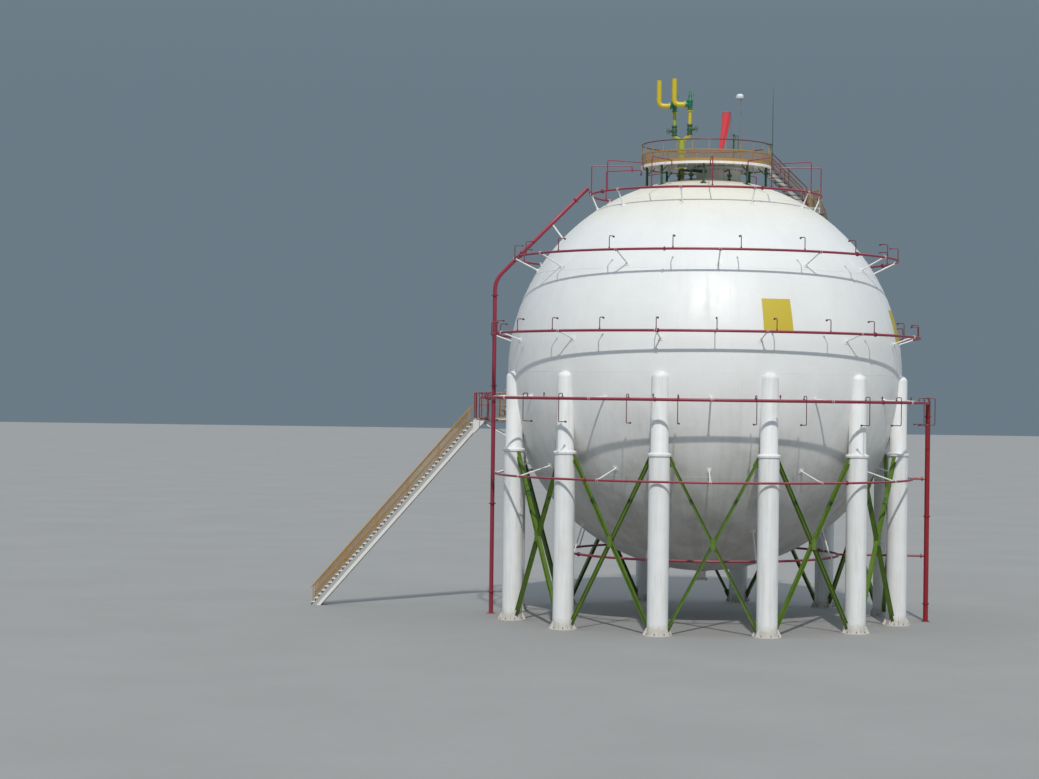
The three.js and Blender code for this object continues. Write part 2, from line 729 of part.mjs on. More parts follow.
function buildLanding() {
  const length = LANDING_INNER_X - LANDING_OUTER_X;
  const width = LANDING_Y[1] - LANDING_Y[0];
  const middleX = (LANDING_OUTER_X + LANDING_INNER_X) / 2;
  const middleY = (LANDING_Y[0] + LANDING_Y[1]) / 2;
  const floorMiddle = new THREE.Vector3(middleX, middleY, LANDING_LEVEL - 30);
  const parts = [block(floorMiddle, xAxis, yAxis, [length, width, 60])];
  const edgeLevel = LANDING_LEVEL - LANDING_EDGE_DEPTH / 2;
  const edgeMiddle = new THREE.Vector3(LANDING_OUTER_X + 30, middleY, edgeLevel);
  parts.push(block(edgeMiddle, xAxis, yAxis, [60, width, LANDING_EDGE_DEPTH]));
  for (const y of [LANDING_Y[0] + 240, LANDING_Y[1] - 60]) {
    const outer = new THREE.Vector3(LANDING_OUTER_X + 60, y, LANDING_LEVEL - 130);
    const inner = new THREE.Vector3(-8600, y, LANDING_LEVEL - 130);
    const middle = outer.clone().add(inner).multiplyScalar(0.5);
    parts.push(block(middle, xAxis, yAxis, [inner.x - outer.x, 90, 160]));
    const kneeTop = new THREE.Vector3(LANDING_OUTER_X + 350, y, LANDING_LEVEL - 150);
    const kneeFoot = new THREE.Vector3(-7900, y, LANDING_LEVEL - 2100);
    parts.push(rod(kneeTop, kneeFoot, 45));
  }
  return joined([...parts, ...landingRails()]).subtract(vesselCutter);
}

function landingRails() {
  const [front, back] = LANDING_Y;
  const at = (x, y, lift) => new THREE.Vector3(x, y, LANDING_LEVEL + lift);
  const left = LANDING_OUTER_X + 40;
  const right = LANDING_INNER_X - 40;
  const backEnd = left + BACK_RAIL_LENGTH;
  const parts = [];
  for (const lift of [1330, 700]) {
    parts.push(
      pipe(
        [at(left, front + 40, lift), at(right, front + 40, lift), at(right, back - 40, lift)],
        RAIL_RADIUS,
        4,
      ),
    );
    parts.push(
      pipe([at(left, back - 40, lift), at(backEnd, back - 40, lift)], RAIL_RADIUS, 4),
    );
  }
  const posts = [0, 700, 1400].map((x) => [left + x, front + 40]);
  posts.push([right, front + 40], [right, back - 40]);
  posts.push([left, back - 40], [backEnd, back - 40]);
  for (const [x, y] of posts) parts.push(rod(at(x, y, -30), at(x, y, 1330), 24, 4));
  return parts;
}

// Spiral stair: stepped flights and rest landings over two stringers, on beams from the
// plates
function spiralSection(azimuth, from, to, bottom, top) {
  return [
    polar(azimuth, from, bottom),
    polar(azimuth, to, bottom),
    polar(azimuth, to, top),
    polar(azimuth, from, top),
  ];
}

function spiralSteps() {
  const section = (azimuth, below, top) => {
    const inner = spiralInnerRadius(below);
    const bottom = below - FLIGHT_THICKNESS;
    return spiralSection(azimuth, inner, inner + SPIRAL_WIDTH, bottom, top);
  };
  const sections = [];
  spiral.line.forEach(({ azimuth, below, level }, i) => {
    if (i && below !== level) sections.push(section(azimuth, below, below));
    sections.push(section(azimuth, below, level));
  });
  sections.push(section(spiral.endAzimuth, spiral.endLevel, spiral.endLevel));
  return loft(sections);
}

// The places where stringers and rails bend
function spiralStations() {
  const stations = spiral.line.filter((step, i) => {
    const last = spiral.line[i - 1];
    return !last || step.rest || last.rest || i % 5 === 0;
  });
  const end = { azimuth: spiral.endAzimuth, below: spiral.endLevel, turn: 0 };
  return [...stations, { ...end, level: spiral.endLevel, rest: true }];
}
const stations = spiralStations();

function spiralStringer(offset) {
  return loft(
    stations.map(({ azimuth, below }) => {
      const radius = spiralInnerRadius(below) + offset;
      const soffit = below - FLIGHT_THICKNESS;
      const low = soffit - STRINGER_DEPTH;
      return spiralSection(azimuth, radius, radius + STRINGER_THICKNESS, low, soffit + 25);
    }),
  );
}

function buildSpiralStair() {
  const parts = [spiralSteps(), spiralStringer(25)];
  parts.push(spiralStringer(SPIRAL_WIDTH - STRINGER_THICKNESS - 25));
  spiral.line.forEach((step, i) => {
    const fromColumn = Math.abs(((step.azimuth - FIRST_COLUMN_AZIMUTH + 15) % 30) - 15);
    const underTopLanding = i > spiral.line.length - 2;
    if (i % 5 !== 2 || underTopLanding || (fromColumn < 4 && step.level < 13400)) return;
    const beamLevel = step.below - FLIGHT_THICKNESS - 90;
    const inner = vesselRadiusAt(beamLevel) - 200;
    const outer = spiralInnerRadius(step.below) + SPIRAL_WIDTH - 30;
    const from = polar(step.azimuth, inner, beamLevel);
    parts.push(rod(from, polar(step.azimuth, outer, beamLevel), 50, 4));
  });
  const landingSide = block(
    new THREE.Vector3(LANDING_INNER_X, LANDING_Y[1] - 1000 + JOINT_GAP, LANDING_LEVEL),
    xAxis,
    yAxis,
    [4000, 2000, 1500],
  );
  const seatMiddle = spiralInnerRadius(spiral.endLevel) + FLIGHT_SEAT - 200;
  const seat = block(
    polar(TOP_FLIGHT_AZIMUTH, seatMiddle, spiral.endLevel),
    polar(TOP_FLIGHT_AZIMUTH, 1, 0),
    across(TOP_FLIGHT_AZIMUTH),
    [400, SPIRAL_WIDTH + 2 * JOINT_GAP, 700],
  );
  return cutBy(joined(parts), [vesselCutter, landingSide, seat]);
}

function spiralRail(offset) {
  const at = ({ azimuth, turn, level }, lift) =>
    polar(azimuth - turn / 2, spiralInnerRadius(level) + offset, level + lift);
  const stops = [spiral.line[1], ...stations.slice(1)];
  const line = (lift) => stops.map((stop) => at(stop, lift));
  const parts = [pipe(line(STAIR_RAIL_HEIGHT), RAIL_RADIUS, 4)];
  stops.forEach((stop, i) => {
    const isLast = i === stops.length - 1;
    if (i % 2 && !isLast) return;
    const post = isLast ? { ...stop, azimuth: stop.azimuth + 0.4 } : stop;
    parts.push(rod(at(post, JOINT_GAP), at(post, STAIR_RAIL_HEIGHT), POST_RADIUS, 4));
  });
  return joined(parts);
}

// Top flight: straight and radial, from the small landing up to the platform
function buildTopFlight() {
  const rise = (PLATFORM_LEVEL - spiral.endLevel) / TOP_FLIGHT_RISERS;
  const outer = spiralInnerRadius(spiral.endLevel) + FLIGHT_SEAT - JOINT_GAP;
  const inner = PLATFORM_FLAT + JOINT_GAP;
  const going = (outer - inner) / TOP_FLIGHT_RISERS;
  const inward = polar(TOP_FLIGHT_AZIMUTH + 180, 1, 0);
  const side = across(TOP_FLIGHT_AZIMUTH);
  const at = (step, aside, lift) =>
    polar(TOP_FLIGHT_AZIMUTH, outer - going * step, spiral.endLevel + rise * step + lift)
      .addScaledVector(side, aside);
  const parts = [];
  for (const s of [-1, 1]) {
    const near = s * (SPIRAL_WIDTH / 2 - STRINGER_THICKNESS);
    const far = (s * SPIRAL_WIDTH) / 2;
    const outline = (aside) => [
      at(0, aside, 20),
      at(TOP_FLIGHT_RISERS, aside, 20),
      at(TOP_FLIGHT_RISERS, aside, -230),
      at(0, aside, -230),
    ];
    parts.push(loft([outline(near), outline(far)]));
  }
  for (let i = 1; i < TOP_FLIGHT_RISERS; i++) {
    const middle = at(i, 0, -TREAD_THICKNESS / 2).addScaledVector(inward, 90);
    parts.push(block(middle, inward, side, [220, SPIRAL_WIDTH - 30, TREAD_THICKNESS]));
  }
  const rails = [-1, 1].map((s) => {
    const aside = s * (SPIRAL_WIDTH / 2 - STRINGER_THICKNESS / 2);
    const line = (lift) => [at(0.3, aside, lift), at(TOP_FLIGHT_RISERS - 0.4, aside, lift)];
    const bars = [pipe(line(950), RAIL_RADIUS, 4)];
    for (const step of [0.4, TOP_FLIGHT_RISERS / 2, TOP_FLIGHT_RISERS - 0.5])
      bars.push(rod(at(step, aside, -60), at(step, aside, 950), RAIL_RADIUS - 4, 4));
    return joined(bars);
  });
  const flight = joined([...parts, ...rails]).subtract(vesselCutter);
  return flight;
}

// Top platform: a round floor with a deep edge, on legs that stand on the crown
const PIPE_HOLE = { x: -1260, y: 0, radius: 330 };
const FLOOR_THICKNESS = 60;
// Turns the floor so that one of its flats faces the top flight
const PLATFORM_TURN = (TOP_FLIGHT_AZIMUTH + 90 - 180 / PLATFORM_SIDES) % (360 / PLATFORM_SIDES);
const EDGE_DEPTH = 170;

function buildPlatform() {
  const top = PLATFORM_LEVEL;
  const floor = turned(
    [
      [0, top],
      [PLATFORM_RADIUS, top],
      [PLATFORM_RADIUS, top - EDGE_DEPTH],
      [PLATFORM_RADIUS - 60, top - EDGE_DEPTH],
      [PLATFORM_RADIUS - 60, top - FLOOR_THICKNESS],
      [0, top - FLOOR_THICKNESS],
    ],
    PLATFORM_SIDES,
  ).rotate([0, 0, PLATFORM_TURN]);
  const hole = rod(
    new THREE.Vector3(PIPE_HOLE.x, PIPE_HOLE.y, top - 200),
    new THREE.Vector3(PIPE_HOLE.x, PIPE_HOLE.y, top + 200),
    PIPE_HOLE.radius,
    12,
  );
  const parts = [floor.subtract(hole)];
  for (let i = 0; i < 8; i++) {
    const azimuth = 22.5 + 20 + 45 * i;
    const head = polar(azimuth, 3000, top - 20);
    parts.push(rod(polar(azimuth, 3000, top - 1100), head, 60, 5));
  }
  return joined(parts).subtract(vesselCutter);
}

function platformRail() {
  const gap = 6.8;
  const steps = 24;
  const from = TOP_FLIGHT_AZIMUTH + gap;
  const sweep = 360 - 2 * gap;
  const radius = PLATFORM_RADIUS - 45;
  const line = (lift) =>
    Array.from({ length: steps + 1 }, (_, i) =>
      polar(from + (sweep * i) / steps, radius, PLATFORM_LEVEL + lift),
    );
  const top = line(RAIL_HEIGHT);
  const parts = [pipe(top, RAIL_RADIUS + 4, 4)];
  const toe = line(0).map((p) => {
    const outward = p.clone().setZ(0).normalize();
    const section = [
      [-8, JOINT_GAP],
      [8, JOINT_GAP],
      [8, 150],
      [-8, 150],
    ];
    return section.map(([r, z]) =>
      p.clone().addScaledVector(outward, r).setZ(PLATFORM_LEVEL + z),
    );
  });
  parts.push(loft(toe));
  for (let i = 0; i <= steps; i += 2) {
    const foot = top[i].clone().setZ(PLATFORM_LEVEL + JOINT_GAP);
    parts.push(rod(foot, top[i], RAIL_RADIUS - 2, 4));
  }
  return joined(parts);
}

// Top manway drum between the crown and the platform floor
const DRUM = { x: 620, y: 0, radius: 1130 };
function buildDrum() {
  const top = PLATFORM_LEVEL - FLOOR_THICKNESS - JOINT_GAP;
  const { radius } = DRUM;
  const outline = [
    [0, top - 900],
    [radius, top - 900],
    [radius, top - 120],
    [radius + 90, top - 120],
    [radius + 90, top],
    [0, top],
  ];
  return turned(outline, 16, new THREE.Vector3(DRUM.x, DRUM.y, 0)).subtract(vesselCutter);
}

// Relief valves: a stand pipe through the platform forks to two valves with vent stacks
const STAND = { x: PIPE_HOLE.x, y: PIPE_HOLE.y, radius: 150, fork: 24200 };
const VALVES = [
  { name: "1", x: -1640, y: 340 },
  { name: "2", x: -860, y: -340 },
];
const VALVE_INLET_LEVEL = 25620;
const VENT_LEVEL = 25920;
const VENT_TOP = 27220;
const VENT_REACH = 800;
const BLOCK_VALVE_LEVEL = 24420;

function buildManifold() {
  const at = (x, y, z) => new THREE.Vector3(x, y, z);
  const parts = [rod(at(STAND.x, STAND.y, 22000), at(STAND.x, STAND.y, STAND.fork), STAND.radius, 10)];
  parts.push(turned(flangeOutline(230, STAND.fork - 700, 90), 10, at(STAND.x, STAND.y, 0)));
  for (const { x, y } of VALVES) {
    const aside = new THREE.Vector3(x - STAND.x, y - STAND.y, 0).normalize();
    const normal = new THREE.Vector3().crossVectors(aside, up);
    const line = [
      at(STAND.x, STAND.y, STAND.fork - 90),
      at(x, y, STAND.fork + 160),
      at(x, y, VALVE_INLET_LEVEL),
    ];
    parts.push(pipe(line, 85, 8, normal));
    parts.push(turned(blockValveOutline(BLOCK_VALVE_LEVEL), 8, at(x, y, 0)));
    parts.push(turned(flangeOutline(150, VALVE_INLET_LEVEL - 45, 45), 8, at(x, y, 0)));
    const stem = at(x, y, BLOCK_VALVE_LEVEL + 240);
    const wheelHub = stem.clone().addScaledVector(aside, 430);
    const wheelFace = wheelHub.clone().addScaledVector(aside, -40);
    parts.push(rod(stem, wheelHub, 30, 4));
    parts.push(rod(wheelFace, wheelFace.clone().addScaledVector(aside, 60), 150, 8));
  }
  return joined(parts).subtract(vesselCutter);
}

function flangeOutline(radius, level, height) {
  return [[0, level], [radius, level], [radius, level + height], [0, level + height]];
}

function blockValveOutline(level) {
  return [
    [0, level],
    [150, level],
    [150, level + 50],
    [110, level + 80],
    [145, level + 240],
    [110, level + 400],
    [150, level + 430],
    [150, level + 480],
    [0, level + 480],
  ];
}

// A relief valve: body, bonnet and cap in one turned shape, with its outlet towards -X
function reliefValve({ x, y }) {
  const base = VALVE_INLET_LEVEL + JOINT_GAP;
  const outline = [
    [0, base],
    [150, base],
    [150, base + 45],
    [105, base + 80],
    [140, base + 260],
    [140, base + 420],
    [165, base + 450],
    [165, base + 500],
    [95, base + 560],
    [80, base + 800],
    [35, base + 960],
    [0, base + 960],
  ];
  const outlet = rod(
    new THREE.Vector3(x, y, VENT_LEVEL),
    new THREE.Vector3(x - 240, y, VENT_LEVEL),
    120,
    8,
  );
  return turned(outline, 8, new THREE.Vector3(x, y, 0)).add(outlet);
}

function ventStack({ x, y }) {
  const start = x - 240 - JOINT_GAP;
  const bend = 300;
  const stackX = x - VENT_REACH;
  const at = (px, pz) => new THREE.Vector3(px, y, pz);
  const line = [at(start, VENT_LEVEL)];
  const steps = 4;
  for (let i = 0; i <= steps; i++) {
    const turn = (Math.PI / 2) * (i / steps);
    const px = stackX + bend - bend * Math.sin(turn);
    line.push(at(px, VENT_LEVEL + bend - bend * Math.cos(turn)));
  }
  line.push(at(stackX, VENT_TOP));
  const flange = rod(at(start, VENT_LEVEL), at(start - 45, VENT_LEVEL), 180, 8);
  return pipe(line, 125, 8, new THREE.Vector3(0, 1, 0)).add(flange);
}

function buildRelief() {
  addMesh("relief_manifold", buildManifold(), "green");
  for (const valve of VALVES) {
    addMesh(`relief_valve_${valve.name}`, reliefValve(valve), "valve");
    addMesh(`vent_stack_${valve.name}`, ventStack(valve), "yellow");
  }
}

// Masts on the platform
const LAMP_MAST = { x: 1720, y: 600, top: 26350 };
const SOCK_MAST = { x: 1200, y: -900, top: 25500, hoop: 210 };
const ROD_AZIMUTH = TOP_FLIGHT_AZIMUTH - 2 * (360 / PLATFORM_SIDES);
const ROD_TOP = 26850;
const GAUGE_MAST = { x: 1360, y: -600, top: 24400 };

function floorMast({ x, y, top }, radius) {
  const foot = new THREE.Vector3(x, y, PLATFORM_LEVEL + JOINT_GAP);
  const head = new THREE.Vector3(x, y, top);
  const plate = new THREE.Vector3(x, y, 0);
  const base = turned(flangeOutline(110, PLATFORM_LEVEL + JOINT_GAP, 20), 8, plate);
  return rod(foot, head, radius).add(base);
}

function buildMasts() {
  const { x, y, top } = LAMP_MAST;
  const lampHead = block(
    new THREE.Vector3(x - 60, y - 60, top + 110),
    xAxis,
    yAxis,
    [360, 260, 230],
  );
  addMesh("lamp_mast", floorMast(LAMP_MAST, 26).add(lampHead), "steel");
  addMesh("gauge_standpipe", floorMast(GAUGE_MAST, 40), "green");
  const stand = PLATFORM_FLAT + 50;
  const foot = polar(ROD_AZIMUTH, stand, PLATFORM_LEVEL - 150);
  const tip = polar(ROD_AZIMUTH, stand, ROD_TOP);
  const clip = block(
    polar(ROD_AZIMUTH, PLATFORM_FLAT + JOINT_GAP + 25, PLATFORM_LEVEL - 70),
    polar(ROD_AZIMUTH, 1, 0),
    across(ROD_AZIMUTH),
    [50, 90, 60],
  );
  addMesh("lightning_rod", rod(foot, tip, 20, 6).add(clip), "green");
}

// Windsock: a mast with a hoop at its head, and the cloth sleeve that hangs from the hoop
function buildWindsock() {
  const { x, y, top, hoop } = SOCK_MAST;
  const hoopCentre = new THREE.Vector3(x - hoop - 24, y, top - 40);
  const wire = new THREE.TorusGeometry(hoop, 14, 4, 12);
  wire.translate(hoopCentre.x, hoopCentre.y, hoopCentre.z);
  addMesh("windsock_mast", floorMast(SOCK_MAST, 28).add(solidOf(wire)), "steel");
  const outline = [
    { drop: 14.3, radius: 205, lean: 0 },
    { drop: 500, radius: 215, lean: 40 },
    { drop: 1200, radius: 185, lean: 130 },
    { drop: 1950, radius: 120, lean: 270 },
  ];
  const sections = outline.map(({ drop, radius, lean }) =>
    Array.from({ length: 10 }, (_, k) => {
      const turn = (2 * Math.PI * k) / 10;
      const level = hoopCentre.z - drop;
      const px = hoopCentre.x - lean + radius * Math.cos(turn);
      return new THREE.Vector3(px, y + radius * Math.sin(turn), level);
    }),
  );
  addMesh("windsock_sleeve", loft(sections), "sock");
}

// Bottom outlet: a short nozzle with a closing flange under the vessel
function buildBottomNozzle() {
  const low = EQUATOR_LEVEL - VESSEL_RADIUS;
  const outline = [
    [0, low - 520],
    [330, low - 520],
    [330, low - 440],
    [230, low - 440],
    [230, low + 200],
    [0, low + 200],
  ];
  return turned(outline, 12).subtract(vesselCutter);
}

buildVessel();
buildColumns();
buildBraces();
buildRings();
addMesh("ground_stair", buildGroundStair(), "white");
addMesh("ground_rail_front", groundRail(-1), "amber");
addMesh("ground_rail_back", groundRail(1), "amber");
addMesh("stair_landing", buildLanding(), "white");
addMesh("spiral_stair", buildSpiralStair(), "white");
addMesh("spiral_rail_inner", spiralRail(45), "amber");
addMesh("spiral_rail_outer", spiralRail(SPIRAL_WIDTH - 45), "amber");
addMesh("top_flight", buildTopFlight(), "white");
addMesh("platform_floor", buildPlatform(), "white");
addMesh("platform_rail", platformRail(), "amber");
addMesh("manway_drum", buildDrum(), "white");
buildRelief();
buildMasts();
buildWindsock();
addMesh("bottom_nozzle", buildBottomNozzle(), "white");

// The origin is the middle of the footprint, at ground level
const extent = new THREE.Box3().setFromObject(tank);
const middle = extent.getCenter(new THREE.Vector3());
tank.children.forEach((mesh) =>
  mesh.geometry.translate(-middle.x, -middle.y, -extent.min.z),
);

export default tank;
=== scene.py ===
# %% [markdown]
# # Dressing a spherical gas tank
#
# A sphere is the cheapest shape for holding gas under pressure, because its wall pulls
# equally in every direction. This one stands on twelve braced columns. Red pipes ring it
# to spray cooling water, and stairs climb to a railed platform with the relief valves.
#
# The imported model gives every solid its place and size. This script gives them the
# smooth surfaces, small fittings and paint that a plain solid lacks.

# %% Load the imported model
import math
import random
from collections import namedtuple

import bmesh
import bpy
from mathutils import Matrix, Vector


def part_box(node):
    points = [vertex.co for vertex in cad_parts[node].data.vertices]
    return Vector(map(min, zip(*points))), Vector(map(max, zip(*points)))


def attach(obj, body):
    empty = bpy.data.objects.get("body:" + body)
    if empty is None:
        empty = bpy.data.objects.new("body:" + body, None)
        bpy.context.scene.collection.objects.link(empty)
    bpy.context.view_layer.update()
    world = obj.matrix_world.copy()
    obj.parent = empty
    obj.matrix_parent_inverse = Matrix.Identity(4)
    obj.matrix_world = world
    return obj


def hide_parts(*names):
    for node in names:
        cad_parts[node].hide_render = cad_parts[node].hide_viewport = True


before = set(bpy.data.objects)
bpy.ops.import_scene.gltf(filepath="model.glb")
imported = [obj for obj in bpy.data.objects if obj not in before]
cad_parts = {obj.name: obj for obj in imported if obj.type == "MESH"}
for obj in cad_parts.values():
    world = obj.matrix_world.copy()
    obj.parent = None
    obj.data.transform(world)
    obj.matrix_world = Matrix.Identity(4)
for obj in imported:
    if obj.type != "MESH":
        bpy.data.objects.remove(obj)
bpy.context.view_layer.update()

# %% [markdown]
# ## Where the tank's axis is
#
# The model's origin is the middle of its footprint, and the ground stair pulls that
# middle to one side. Nearly everything on a sphere is easier to place by azimuth round
# the axis, so each piece is made round the axis and moved once, when it is finished.

# %% The tank's own numbers, in metres and degrees
base_low, base_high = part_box("shell_bottom")
AXIS = Vector(((base_low[0] + base_high[0]) / 2, (base_low[1] + base_high[1]) / 2, 0))
VESSEL_RADIUS = 9.9
EQUATOR = 12.3
COLUMN_RADIUS = 9.83
FIRST_COLUMN, COLUMN_PITCH = 18.2, 30
COLUMN_AZIMUTHS = [FIRST_COLUMN + COLUMN_PITCH * i for i in range(12)]
PLATFORM_LEVEL = 22.8
PLATFORM_RADIUS = 3.3
RIGHT, BACK, UP = Vector((1, 0, 0)), Vector((0, 1, 0)), Vector((0, 0, 1))
print("axis stands at", AXIS)


def polar(azimuth, radius, level):
    """A point from its azimuth in degrees, distance from the axis and level."""
    turn = math.radians(azimuth)
    return Vector((radius * math.cos(turn), radius * math.sin(turn), level))


def vessel_radius_at(level):
    """How far the plates are from the axis at a level."""
    return math.sqrt(max(VESSEL_RADIUS**2 - (level - EQUATOR) ** 2, 0))


def crown_level(x, y=0.0):
    """The level of the plates above a point, measured from the axis."""
    return EQUATOR + math.sqrt(VESSEL_RADIUS**2 - x**2 - y**2)


def straight_out(point):
    """The direction that stands square to the plates at a point."""
    return (point - UP * EQUATOR).normalized()


def oblong(near, far, first, second):
    """Four corners of an upright rectangle, as [distance, level]."""
    return [(near, first), (far, first), (far, second), (near, second)]


# %% [markdown]
# ## The camera first
#
# The photograph was taken from far off with a long lens, so the rings look almost flat
# and near and far columns are nearly the same size. The distance and lens below give the
# same flattening. The eye is 11 metres up, level with the thickest ring.

# %% Camera
EYE_DISTANCE = 119.0
EYE_LEVEL = 11.0
LENS = 81.2
camera_data = bpy.data.cameras.new("portrait_camera")
camera_data.lens = LENS
camera_data.sensor_width = 36
camera_data.clip_end = 1000
camera = bpy.data.objects.new("portrait_camera", camera_data)
bpy.context.scene.collection.objects.link(camera)
bpy.context.scene.camera = camera


def aim_camera(yaw, pitch, roll):
    """Points the camera: yaw left of the axis, pitch above level, roll of the horizon."""
    ahead = Vector((-math.sin(yaw), math.cos(yaw), math.tan(pitch))).normalized()
    right = ahead.cross(UP).normalized()
    above = right.cross(ahead)
    side = right * math.cos(roll) + above * math.sin(roll)
    top = above * math.cos(roll) - right * math.sin(roll)
    turn = Matrix((side, top, -ahead)).transposed().to_4x4()
    eye = AXIS + Vector((0, -EYE_DISTANCE, EYE_LEVEL))
    camera.matrix_world = Matrix.Translation(eye) @ turn


aim_camera(math.radians(4.49), math.radians(0.2), math.radians(0.74))
print("camera at", camera.matrix_world.translation)

# %% [markdown]
# ## A small kit for meshes
#
# Pipes, bars and turned shapes make up the whole tank. A `Shape` gathers points and
# faces for them one after another, and becomes one object at the end.

# %% Shape: gathers points and faces
DEFAULT_SIDES = 12


def ring_of(count):
    """Cosine and sine for equal steps round a circle."""
    return [
        (math.cos(2 * math.pi * k / count), math.sin(2 * math.pi * k / count))
        for k in range(count)
    ]


def frames_along(path, closed):
    """Two directions square to a path at each point, carried along without twisting."""
    count = len(path)
    tangents = []
    for i in range(count):
        before = path[i - 1] if i or closed else path[0]
        after = path[(i + 1) % count] if i < count - 1 or closed else path[-1]
        tangents.append((after - before).normalized())
    seed = UP if abs(tangents[0].z) < 0.9 else RIGHT
    first = tangents[0].cross(seed).normalized()
    frames = []
    for tangent in tangents:
        first = (first - tangent * first.dot(tangent)).normalized()
        frames.append((tangent, first, tangent.cross(first)))
    return frames


def bar_axes(start, end, up):
    """Along a bar, across it and over it."""
    along = (end - start).normalized()
    across = along.cross(up).normalized()
    return along, across, across.cross(along)


class Shape:
    """Points and faces gathered piece by piece."""

    def __init__(self):
        self.points = []
        self.faces = []

    def add(self, points, faces):
        start = len(self.points)
        self.points.extend(Vector(p) for p in points)
        self.faces.extend([start + k for k in face] for face in faces)
        return self

    def sections(self, rows, closed=False):
        """Joins rows of as many points into a skin, capped unless it closes on itself."""
        count = len(rows[0])
        points = [p for row in rows for p in row]
        faces = []
        bands = len(rows) if closed else len(rows) - 1
        for s in range(bands):
            here, there = s * count, ((s + 1) % len(rows)) * count
            for k in range(count):
                m = (k + 1) % count
                faces.append([here + k, here + m, there + m, there + k])
        if not closed:
            faces.append(list(range(count))[::-1])
            faces.append([(len(rows) - 1) * count + k for k in range(count)])
        return self.add(points, faces)

    def tube(self, path, radius, sides=DEFAULT_SIDES, closed=False):
        """A round bar along a path. A list of radii makes it swell or taper."""
        path = [Vector(p) for p in path]
        radii = radius if isinstance(radius, (list, tuple)) else [radius] * len(path)
        rows = []
        for point, reach, (_, across, over) in zip(path, radii, frames_along(path, closed)):
            rows.append([point + (across * c + over * s) * reach for c, s in ring_of(sides)])
        return self.sections(rows, closed)

    def turned(self, outline, base=(0, 0, 0), axis=UP, sides=24):
        """A lathe shape: outline is [radius, height along the axis] from bottom to top."""
        base, axis = Vector(base), Vector(axis).normalized()
        seed = RIGHT if abs(axis.x) < 0.9 else BACK
        across = (seed - axis * seed.dot(axis)).normalized()
        over = axis.cross(across)
        points, faces, rings = [], [], []
        for reach, height in outline:
            centre = base + axis * height
            start = len(points)
            if reach < 1e-6:
                points.append(centre)
            else:
                circle = ring_of(sides)
                points.extend(centre + (across * c + over * s) * reach for c, s in circle)
            rings.append(list(range(start, len(points))))
        for low, high in zip(rings, rings[1:]):
            for k in range(sides if len(low) + len(high) > 2 else 0):
                m = (k + 1) % sides
                corners = [low[k % len(low)], low[m % len(low)]]
                corners += [high[m % len(high)], high[k % len(high)]]
                faces.append(list(dict.fromkeys(corners)))
        if len(rings[0]) > 1:
            faces.append(rings[0][::-1])
        if len(rings[-1]) > 1:
            faces.append(rings[-1])
        return self.add(points, faces)

    def disc(self, reach, thickness, base=(0, 0, 0), axis=UP, sides=24):
        """A round plate, or a plain round bar, on its base."""
        return self.turned([[reach, 0], [reach, thickness]], base, axis, sides)

    def hoop(self, outline, count, centre=(0, 0)):
        """An upright ring of any section: outline is [distance from the centre, level]."""
        middle = Vector((*centre, 0))
        rows = []
        for k in range(count):
            rows.append([middle + polar(360 * k / count, r, z) for r, z in outline])
        return self.sections(rows, closed=True)

    def box(self, centre, size, axes=None):
        """A block of a size about its centre, turned to three directions."""
        x, y, z = axes or (RIGHT, BACK, UP)
        centre = Vector(centre)
        half = [s / 2 for s in size]
        rows = []
        for c in (-1, 1):
            row = []
            for a, b in ((-1, -1), (1, -1), (1, 1), (-1, 1)):
                row.append(centre + x * a * half[0] + y * b * half[1] + z * c * half[2])
            rows.append(row)
        return self.sections(rows)

    def bar(self, start, end, size):
        """A straight rectangular bar between two points: size is across, then upwards."""
        start, end = Vector(start), Vector(end)
        length = (end - start).length
        return self.box((start + end) / 2, (length, *size), bar_axes(start, end, UP))

    def section_bar(self, start, end, outline, up=UP):
        """A straight bar with any outline, given as [across, over] corners."""
        start, end = Vector(start), Vector(end)
        _, across, over = bar_axes(start, end, up)
        rows = [[centre + across * a + over * b for a, b in outline] for centre in (start, end)]
        return self.sections(rows)


# %% [markdown]
# ## From a shape to a finished piece
#
# A finished piece sits at the origin with its place in its mesh and rides on the model's one
# body. Edges sharper than 35 degrees stay crisp, and all others are shaded smooth, as
# pressed and welded steel looks.

# %% Turning shapes into pieces
SHARP_EDGE = math.radians(35)


def mesh_of(shape, name):
    """A clean mesh with outward faces and crisp edges."""
    mesh = bpy.data.meshes.new(name)
    mesh.from_pydata([tuple(p) for p in shape.points], [], shape.faces)
    work = bmesh.new()
    work.from_mesh(mesh)
    for face in work.faces:
        face.smooth = True
    bmesh.ops.remove_doubles(work, verts=work.verts, dist=2e-5)
    bmesh.ops.recalc_face_normals(work, faces=work.faces)
    for edge in work.edges:
        edge.smooth = edge.is_manifold and edge.calc_face_angle(0) < SHARP_EDGE
    work.to_mesh(mesh)
    work.free()
    return mesh


def place(mesh, name, material, replaced=()):
    """Makes an object of a mesh made round the axis, and moves its points to the axis."""
    mesh.transform(Matrix.Translation(AXIS))
    mesh.materials.clear()
    mesh.materials.append(material)
    thing = bpy.data.objects.new(name, mesh)
    bpy.context.scene.collection.objects.link(thing)
    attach(thing, "root")
    if replaced:
        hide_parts(*replaced)
    print(name, len(mesh.polygons), "faces")
    return thing


def piece(name, shape, material, replaced=()):
    """A shape as a finished piece."""
    return place(mesh_of(shape, name), name, material, replaced)


# %% [markdown]
# ## Copies with Geometry Nodes
#
# Columns, nozzles, treads and bolts repeat by the dozen. One node tree puts a copy of a
# template on every point of a cloud: each point carries a `turn`, so the same tree serves
# a ring of columns and a row of treads. The copies become real mesh at the end, since
# instances don't survive an export.

